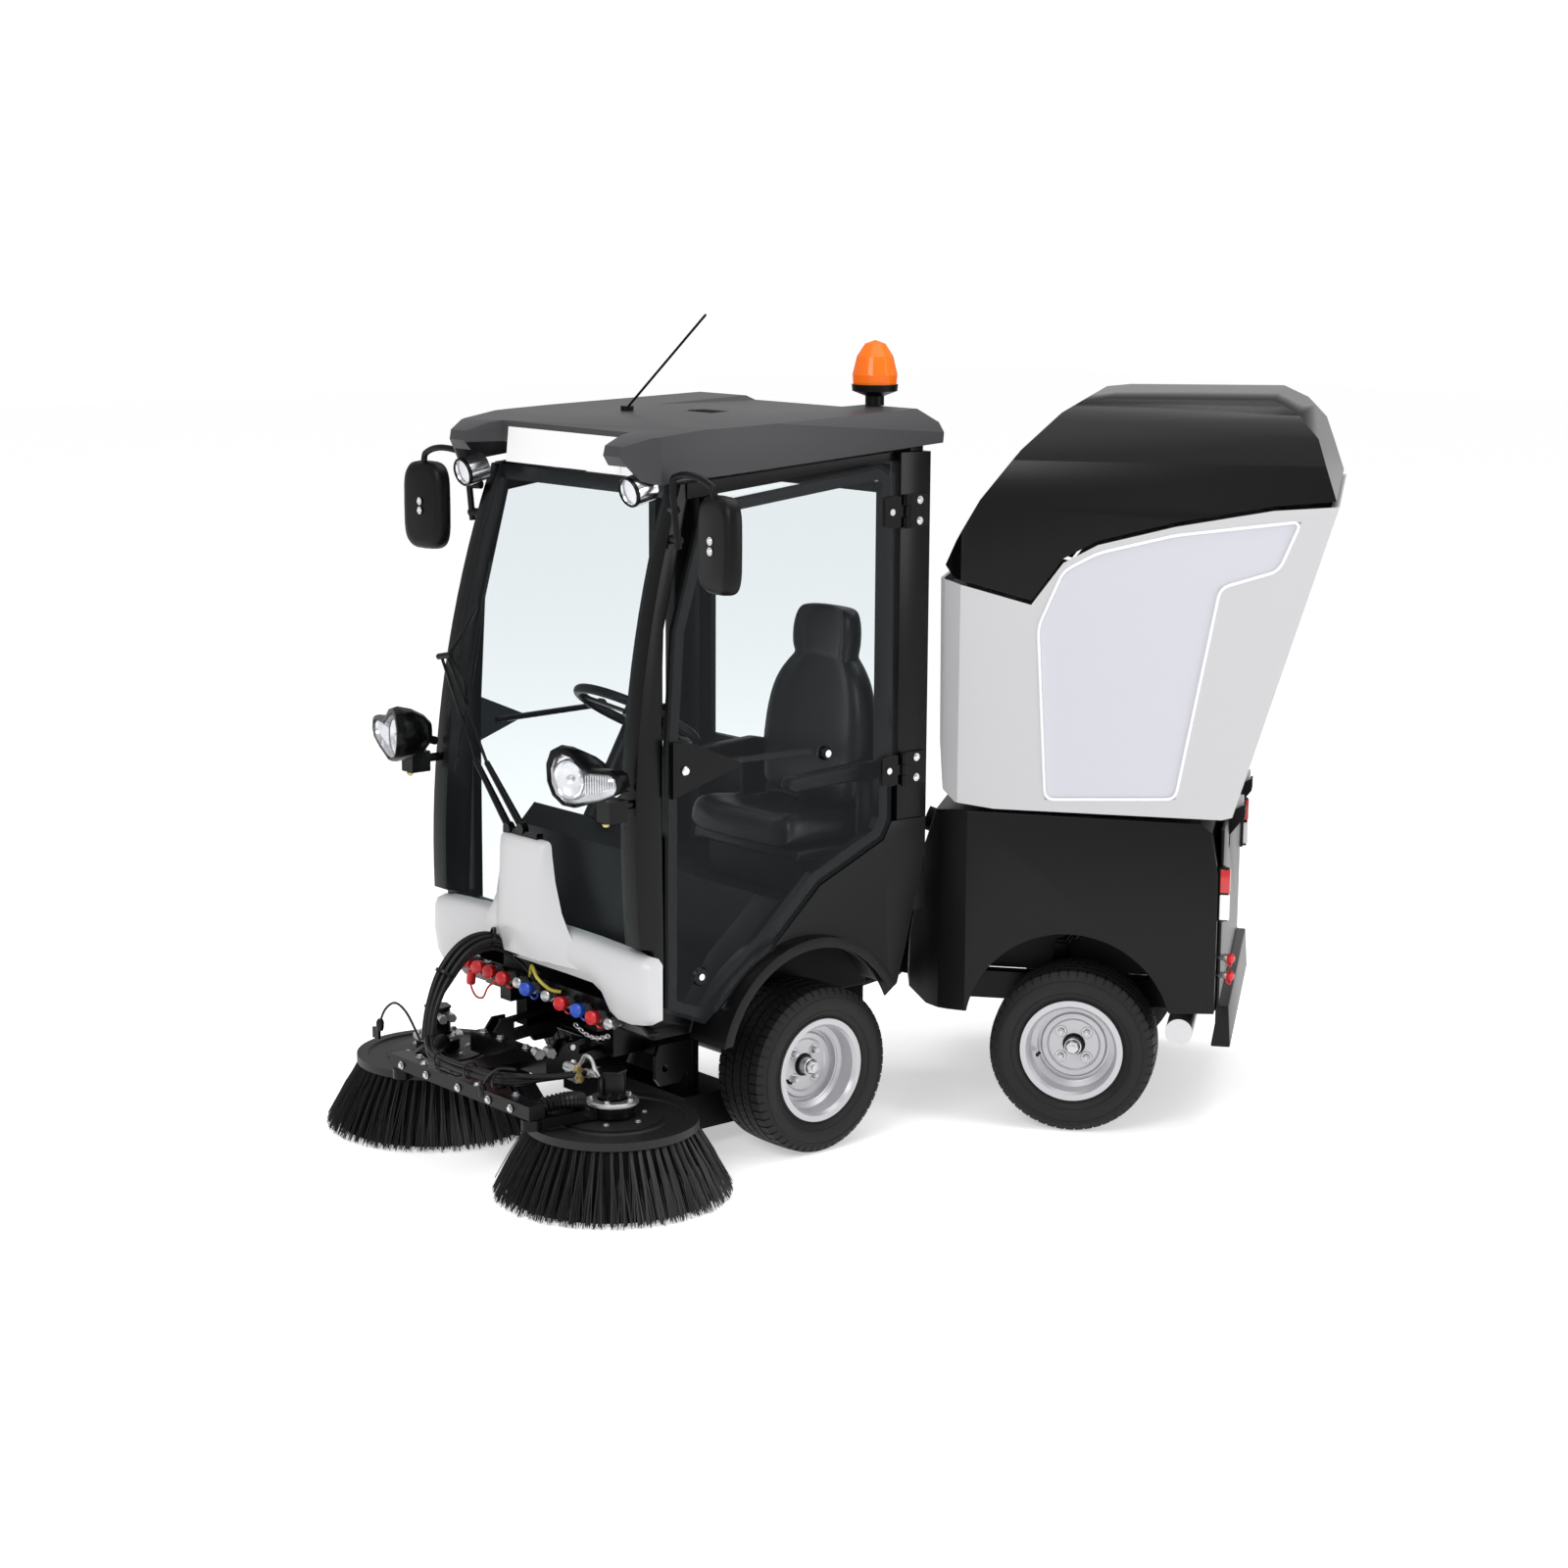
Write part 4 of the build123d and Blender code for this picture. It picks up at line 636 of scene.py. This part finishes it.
panel.rings(tower_rings)
piece(panel, "front_panel_shell", "front_section", front, LIGHT_GREY, smooth=50, replaces=("front_panel",),
      slot="light_grey")

# Wiper: two arms leaning to the far side, a crosspiece, blade carriers and a curved blade
wiper = Shape()
for start, knee, end in (((-72, -624, 900), (-240, -616, 1061), (-415, -604, 1322)),
                         ((-10, -624, 908), (-186, -616, 1061), (-386, -604, 1328))):
    wiper.tube([start, knee], [11, 8], 10)
    wiper.tube([knee, end], [4.5, 4.5], 8)
    wiper.turned([(0.01, -10), (15, -10), (17, 0), (15, 10), (0.01, 10)], start, (0, 1, 0.1), 18)
wiper.tube([(-430, -604, 1322), (-372, -602, 1334)], 9, 12)
wiper.tube([(-386, -602, 1334), (-330, -590, 1400), (-296, -566, 1470)], 5, 8, smooth=6)
wiper.tube([(-380, -602, 1330), (-318, -600, 1270), (-300, -600, 1210)], 5, 8, smooth=6)
wiper.tube([(-305, -512, 1592), (-295, -545, 1490), (-286, -575, 1370), (-296, -594, 1240),
            (-322, -606, 1120), (-348, -612, 1012)], [3, 5, 6, 6, 5, 3], 8)
wiper.box(-96, 60, -628, -606, 884, 902)
piece(wiper, "wiper_arms", "front_section", front, BLACK_PAINT, smooth=50, replaces=("wiper",),
      slot="black_plastic")

# Hopper's side panels: rim beads whose white is a painted highlight along the pressed edges, and sheets in
# the pressed recesses whose paler grey is a painted sheen, just proud of the CAD's faces
SHEET_X, BEAD_X, BEAD_R, CORNER_PULL, INSET = 526.4, 529.2, 4.6, 26, 0.012
side_panel = [(-87, 953), (269, 969), (372, 1552), (526, 1602), (580, 1735), (249, 1690), (41, 1636),
              (-51, 1585), (-116, 1430)]
for hand, word in HANDS:
    sheet = Shape()
    n = len(side_panel)
    centre_y = sum(y for y, z in side_panel) / n
    centre_z = sum(z for y, z in side_panel) / n
    shrunk = [(y + (centre_y - y) * INSET, z + (centre_z - z) * INSET) for y, z in side_panel]
    sheet.add([(hand * SHEET_X, y, z) for y, z in shrunk], [tuple(range(n))])
    round_line = []
    for k in range(n):
        a, b, c = (Vector((hand * BEAD_X, *side_panel[(k + d) % n])) for d in (-1, 0, 1))
        pull = min(CORNER_PULL, (a - b).length * 0.3, (c - b).length * 0.3)
        p, q = b + (a - b).normalized() * pull, b + (c - b).normalized() * pull
        round_line += [p.lerp(b, t).lerp(b.lerp(q, t), t) for t in (0, 0.25, 0.5, 0.75, 1)]
    round_line.append(round_line[0])
    sheet.tube(round_line, BEAD_R, 8, kind=1)
    piece(sheet, f"hopper_panel_painted_light_{word}", "hopper", rear, PAINTED_SHEEN_GREY, PAINTED_HIGHLIGHT_WHITE, smooth=60)

# Tail lamps: slim black housings, red above and white below
for hand, word in HANDS:
    tail = Shape()
    tail.box(*sorted((hand * 484, hand * 521)), 393.4, 412, 631, 782)
    tail.box(*sorted((hand * 500, hand * 522)), 398, 425, 712, 778, kind=1)
    tail.box(*sorted((hand * 500, hand * 522)), 398, 425, 636, 708, kind=2)
    for z in (636, 708, 778):
        tail.box(*sorted((hand * 496, hand * 521)), 400, 422, z - 3, z + 3)
    piece(tail, f"tail_lamp_{word}", "rear_section", rear, BLACK_MOULD, RED_LENS, WHITE, smooth=30, bevel=3,
          replaces=("tail_lamps",) if hand == 1 else (), slot="red_lamp" if hand == 1 else None)

# Capped test couplings at the rear corner
back = Shape()
for z in (470, 520):
    back.turned([(0.01, 0), (9, 0), (9, 18), (12, 20), (12, 30), (0.01, 30)], (470, 396, z), (0.3, 1, 0), 14)
    back.turned([(0.01, 30), (13, 30), (14, 42), (8, 48), (0.01, 48)], (470, 396, z), (0.3, 1, 0), 14, kind=1)
    back.tube([(474, 410, z), (486, 430, z - 22), (480, 436, z - 6)], 2.4, 6, kind=1, smooth=5)
piece(back, "rear_couplings", "rear_section", rear, STEEL, RED, smooth=40)

# Bumper bolts, blank plate, roof vent
trim = Shape()
for x in (-383, -241, 241, 383):
    trim.bolt((x, -597 if abs(x) > 300 else -606, 636), (0, -0.8, 0.6), 6, 4, washer=False)
for x in (-90, 90):
    trim.bolt((x, -623, 870), (0, -0.3, 1), 5, 3, washer=False)
piece(trim, "bumper_bolts", "front_section", front, DEEP_BLACK, smooth=35)

plate = Shape()
plate.box(-252, 260, -490.5, -488.5, 1868, 1962, turn=Matrix.Rotation(math.radians(-6), 3, "X"),
          about=(0, -488, 1905))
piece(plate, "blank_plate", "front_section", front, WHITE, smooth=20, bevel=0.6)

vent = Shape()
for k in range(7):
    vent.box(-2 + 16 * k, 7 + 16 * k, -62, 14, 1999, 2003.5)
vent.box(-14, 112, -74, 26, 1997, 2001)
piece(vent, "roof_vent", "front_section", front, DEEP_BLACK, smooth=30, bevel=1)

# Door latches, inner rails with their knobs, lower stops, hinge leaves and hinge bolts
DOOR_FACE = 5.2
HINGE_HEIGHTS = (1043, 1748)
HINGE_LEAF = ((196, -38), (228, -44), (250, -40), (250, 40), (228, 44), (196, 38))
for hand, word in HANDS:
    lock = Shape()

    def on(out, y, z):
        return side_point(out, y, z, hand)

    outline = [(-498, 1195), (-440, 1188), (-292, 1126), (-290, 1112), (-352, 1092), (-498, 1046)]
    lock.rings([[on(out, y, z) for y, z in outline] for out in (DOOR_FACE, 26)])
    lock.turned([(0.01, 0), (12, 0), (12, 5), (9, 8), (0.01, 8)], on(26, -462, 1118), (hand, 0, 0), 18,
                kind=1)
    lock.tube([on(-14, -400, 1120), on(-14, -30, 1120)], 9, 8)
    lock.turned([(0.01, -6), (16, -6), (20, 0), (20, 12), (15, 20), (0.01, 22)], on(-4, 4, 1115),
                (hand, 0, 0), 24)
    lock.turned([(0.01, 0), (10, 0), (10, 4), (0.01, 4)], on(18, 4, 1115), (hand, 0, 0), 16, kind=1)
    lock.turned([(0.01, 0), (24, 0), (26, 3), (22, 8), (0.01, 8)], on(DOOR_FACE, -402, 558), (hand, 0, 0), 28)
    lock.turned([(0.01, 0), (9, 0), (9, 4), (0.01, 4)], on(13, -402, 558), (hand, 0, 0), 16, kind=1)
    for z in HINGE_HEIGHTS:
        lock.rings([[on(out, y, z + dz) for y, dz in HINGE_LEAF] for out in (DOOR_FACE + 0.1, 11)])
        lock.turned([(0.01, 0), (9, 0), (9, 4), (0.01, 4)], on(11, 218, z), (hand, 0, 0), 16, kind=1)
    piece(lock, f"door_latch_{word}", f"door_{word}", front, BLACK_PAINT, CHROME, smooth=35)

    hinge = Shape()
    for z in HINGE_HEIGHTS:
        for dz in (-28, 28):
            hinge.bolt(side_point(DOOR_FACE, 318, z + dz, hand), (hand, 0, 0), 8, 6)
    piece(hinge, f"hinge_bolts_{word}", "front_section", front, CHROME, smooth=35)

# Headlights, work lights and mirrors, drawn on the left and mirrored for the right
HEADLIGHT = Vector((452, -765, 1118))
TURN_OUT = Matrix.Rotation(math.radians(15.5), 3, "Z")
LENS_LINE = ((-103, 26), (-90, 55), (-65, 66), (-34, 59), (-4, 38), (22, 25), (56, 26), (86, 27), (104, 18),
             (109, -4), (99, -22), (56, -40), (13, -51), (-22, -61), (-56, -59), (-86, -40), (-101, -11))
WORK_LIGHT, WORK_LIGHT_AXIS = (374, -548, 1834), (0, -0.972, -0.235)
MIRROR = Vector((656, -488, 1718))
MIRROR_TURN = Matrix.Rotation(math.radians(-8), 3, "Z")


def lens_ring(scale_u, scale_w, depth, lift=0.0):
    return [HEADLIGHT + TURN_OUT @ Vector((u * scale_u, depth, w * scale_w + lift)) for u, w in LENS_LINE]


def mirror_ring(y, w, h, n=32):
    """Rounded oblong of half width w and half height h, y behind the mirror's middle plane."""
    out = []
    for k in range(n):
        a = 2 * math.pi * k / n
        c, s = math.cos(a), math.sin(a)
        x = math.copysign(abs(c) ** 0.55, c) * w
        z = math.copysign(abs(s) ** 0.45, s) * h
        out.append(MIRROR + MIRROR_TURN @ Vector((x, y, z)))
    return out


for hand, word in HANDS:
    def handed(p):
        return front((hand * p[0], p[1], p[2]))

    shell = Shape()
    shell.rings([lens_ring(0.99, 0.99, 2), lens_ring(1.04, 1.06, -5, 2), lens_ring(1.09, 1.2, -4, 6),
                 lens_ring(1.1, 1.24, 10, 7), lens_ring(1.02, 1.12, 50, 5), lens_ring(0.74, 0.86, 92),
                 lens_ring(0.42, 0.5, 118), lens_ring(0.01, 0.01, 122)], caps=False)
    shell.rings([lens_ring(0.99, 0.99, 2), lens_ring(0.94, 0.92, 14), lens_ring(0.01, 0.01, 22)],
                caps=False, kind=1)
    bowl = HEADLIGHT + TURN_OUT @ Vector((-50, 16, 0))
    face_out = TURN_OUT @ Vector((0, -1, 0))
    shell.turned([(49, 6), (44, 2), (40, -2), (24, -4), (13, -4), (11, 6), (0.01, 9)], bowl, face_out, 28,
                 kind=1)
    shell.turned([(50, 5), (53, 7), (50, 9)], bowl, face_out, 28)
    for k in range(12):
        rib = HEADLIGHT + TURN_OUT @ Vector((6 + 8 * k, 8, -8 + 1.2 * k))
        shell.tube([rib + Vector((0, 0, -24 + 0.9 * k)), rib + Vector((0, 0, 26 - 0.6 * k))], 2.6, 6, kind=1)
    shell.box(425, 479, -700, -640, 1005, 1062)
    shell.tube([(440, -650, 1040), (440, -603, 1040)], 12, 12)
    shell.tube([(440, -660, 1100), (440, -612, 1085)], 12, 12)
    shell.bolt((452, -690, 1002), (0, 0, -1), 8, 8, kind=2)
    piece(shell, f"headlight_shell_{word}", "front_section", handed, BLACK_PAINT, REFLECTOR, BRASS, smooth=40,
          replaces=("headlights",) if hand == 1 else ())
    glass = Shape()
    glass.rings([lens_ring(0.985, 0.985, 0), lens_ring(0.9, 0.88, -7), lens_ring(0.5, 0.5, -10),
                 lens_ring(0.01, 0.01, -11)], caps=False)
    piece(glass, f"headlight_lens_{word}", "front_section", handed, LENS, smooth=60)

    eye = Shape()
    eye.turned([(40, -2), (40, 6), (36, 10), (34, 4)], WORK_LIGHT, WORK_LIGHT_AXIS, 32)
    eye.turned([(34, 4), (20, -14), (0.01, -20)], WORK_LIGHT, WORK_LIGHT_AXIS, 32, kind=1)
    piece(eye, f"work_light_rim_{word}", "front_section", handed, BLACK_PAINT, REFLECTOR, smooth=40)
    pane = Shape()
    pane.turned([(35, 5), (20, 9), (0.01, 10)], WORK_LIGHT, WORK_LIGHT_AXIS, 32)
    piece(pane, f"work_light_lens_{word}", "front_section", handed, LENS, smooth=60)

    # Mirror head with a rounded back and glass to the rear, on a bent arm
    mirror = Shape()
    mirror.rings([mirror_ring(-21.5, 58, 96), mirror_ring(-18, 72, 114), mirror_ring(-6, 80, 123),
                  mirror_ring(15, 82, 124.5), mirror_ring(21, 80, 123)])
    mirror.rings([mirror_ring(21.2, 76, 119), mirror_ring(21.6, 75, 118)], kind=1)
    mirror.tube([(462, -462, 1690), (462, -480, 1850), (486, -484, 1878), (560, -498, 1886),
                 (630, -497, 1870), (650, -496, 1840), (652, -500, 1720)], 9, 12, smooth=6)
    mirror.box(628, 676, -506, -488, 1690, 1744)
    mirror.tube([(431, -456, 1712), (470, -464, 1712)], 12, 12)
    mirror.tube([(426, -456, 1790), (462, -470, 1790)], 12, 12)
    mirror.bolt((652, -512, 1730), (0, -1, 0), 8, 5, kind=2)
    mirror.bolt((652, -512, 1704), (0, -1, 0), 8, 5, kind=2)
    piece(mirror, f"mirror_{word}", "front_section", handed, BLACK_MOULD, REFLECTOR, CHROME, smooth=45,
          replaces=("mirrors",) if hand == 1 else ())

# Seat: padded cushion and backrest with side bolsters
SEAT_X = 185
CUSHION_LOW = 834


def pad(name, node, rings):
    shape = Shape()
    shape.rings(rings)
    obj = piece(shape, name, "front_section", front, VINYL, smooth=80)
    mod = obj.modifiers.new("soft", "SUBSURF")
    mod.levels = mod.render_levels = 2
    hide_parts(node)


cushion_rings = []
for y, top, half in ((-38, 870, 190), (-34, 905, 215), (-10, 928, 224), (60, 918, 225), (160, 908, 225),
                     (250, 903, 222), (284, 896, 200)):
    middle = (CUSHION_LOW + top) / 2
    section = ((-1, CUSHION_LOW), (0, CUSHION_LOW), (1, CUSHION_LOW), (1, middle), (0.93, top + 5),
               (0.72, top + 6), (0.6, top - 9), (0, top - 6), (-0.6, top - 9), (-0.72, top + 6),
               (-0.93, top + 5), (-1, middle))
    cushion_rings.append([(SEAT_X + half * x, y, z) for x, z in section])
pad("seat_cushion_pad", "seat_cushion", cushion_rings)

back_rings = []
for z, y, half, depth in ((914, 222, 205, 92), (960, 214, 218, 104), (1060, 222, 221, 106),
                          (1160, 232, 214, 100), (1240, 244, 192, 90), (1290, 256, 150, 78),
                          (1312, 262, 124, 70), (1322, 262, 118, 66), (1340, 258, 128, 72),
                          (1400, 262, 130, 72), (1445, 272, 116, 58), (1458, 282, 92, 42)):
    section = ((-1, depth * 0.5), (-0.97, 2), (-0.78, -12), (-0.62, 8), (0, 12), (0.62, 8), (0.78, -12),
               (0.97, 2), (1, depth * 0.5), (0.8, depth), (0, depth + 4), (-0.8, depth))
    back_rings.append([(SEAT_X + half * x, y + dy, z) for x, dy in section])
pad("seat_backrest_pad", "seat_backrest", back_rings)

# Stage: pale floor, soft studio light
bpy.ops.mesh.primitive_plane_add(size=60, location=(0, 0, 0))
floor = bpy.context.object
floor.name = "floor"
floor_paint = material("floor_paint", (0.95, 0.95, 0.95), 0.8, spec=0.1)
floor_shader = floor_paint.node_tree.nodes["Principled BSDF"]
floor_shader.inputs["Emission Color"].default_value = (1, 1, 1, 1)
floor_shader.inputs["Emission Strength"].default_value = 0.44
floor.data.materials.append(floor_paint)
floor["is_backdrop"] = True

# White behind the object for the camera, and a softer white that lights it
world = bpy.data.worlds.new("studio")
bpy.context.scene.world = world
world.use_nodes = True
sky_tree = world.node_tree
backdrop = sky_tree.nodes["Background"]
backdrop.inputs["Color"].default_value = (1, 1, 1, 1)
backdrop.inputs["Strength"].default_value = 1.05
sky = sky_tree.nodes.new("ShaderNodeBackground")
sky.inputs["Color"].default_value = (1, 1, 1, 1)
sky.inputs["Strength"].default_value = 0.58
seen = sky_tree.nodes.new("ShaderNodeLightPath")
choose = sky_tree.nodes.new("ShaderNodeMixShader")
sky_tree.links.new(seen.outputs["Is Camera Ray"], choose.inputs[0])
sky_tree.links.new(sky.outputs[0], choose.inputs[1])
sky_tree.links.new(backdrop.outputs[0], choose.inputs[2])
sky_tree.links.new(choose.outputs[0], sky_tree.nodes["World Output"].inputs["Surface"])


def light_panel(name, at, towards, size, power):
    data = bpy.data.lights.new(name, "AREA")
    data.shape, data.size, data.size_y, data.energy = "RECTANGLE", size[0], size[1], power
    obj = bpy.data.objects.new(name, data)
    bpy.context.scene.collection.objects.link(obj)
    obj.location = at
    obj.rotation_euler = (Vector(towards) - Vector(at)).to_track_quat("-Z", "Y").to_euler()


light_panel("key_light", (2.5, -6.0, 5.0), (0, 0, 1), (3, 3), 200)
light_panel("top_light", (0.5, 0.5, 6.0), (0, 0, 0.8), (5, 5), 170)
light_panel("rear_fill", (6, 2.0, 2.8), (0.5, 0, 1), (2, 3), 90)

# Camera fitted to the photograph: focal length and width in picture pixels, directions and place
FOCAL_PIXELS, WIDTH_PIXELS, SENSOR = 3028.945, 1600, 36
camera_data = bpy.data.cameras.new("camera")
camera = bpy.data.objects.new("camera", camera_data)
bpy.context.scene.collection.objects.link(camera)
camera_data.sensor_width = SENSOR
camera_data.lens = FOCAL_PIXELS / WIDTH_PIXELS * SENSOR
right = Vector((0.64642, 0.76296, 0.00547)).normalized()
ahead = Vector((-0.74849, 0.63552, -0.18944)).normalized()
up = right.cross(ahead).normalized()
stand = Matrix((right, up, -ahead)).transposed().to_4x4()
stand.translation = front((6392.6, -5139.8, 2537.9))
camera.matrix_world = stand
camera_data.clip_end = 100
bpy.context.scene.camera = camera
bpy.context.scene.view_settings.view_transform = "Standard"

bpy.context.view_layer.update()
low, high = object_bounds()
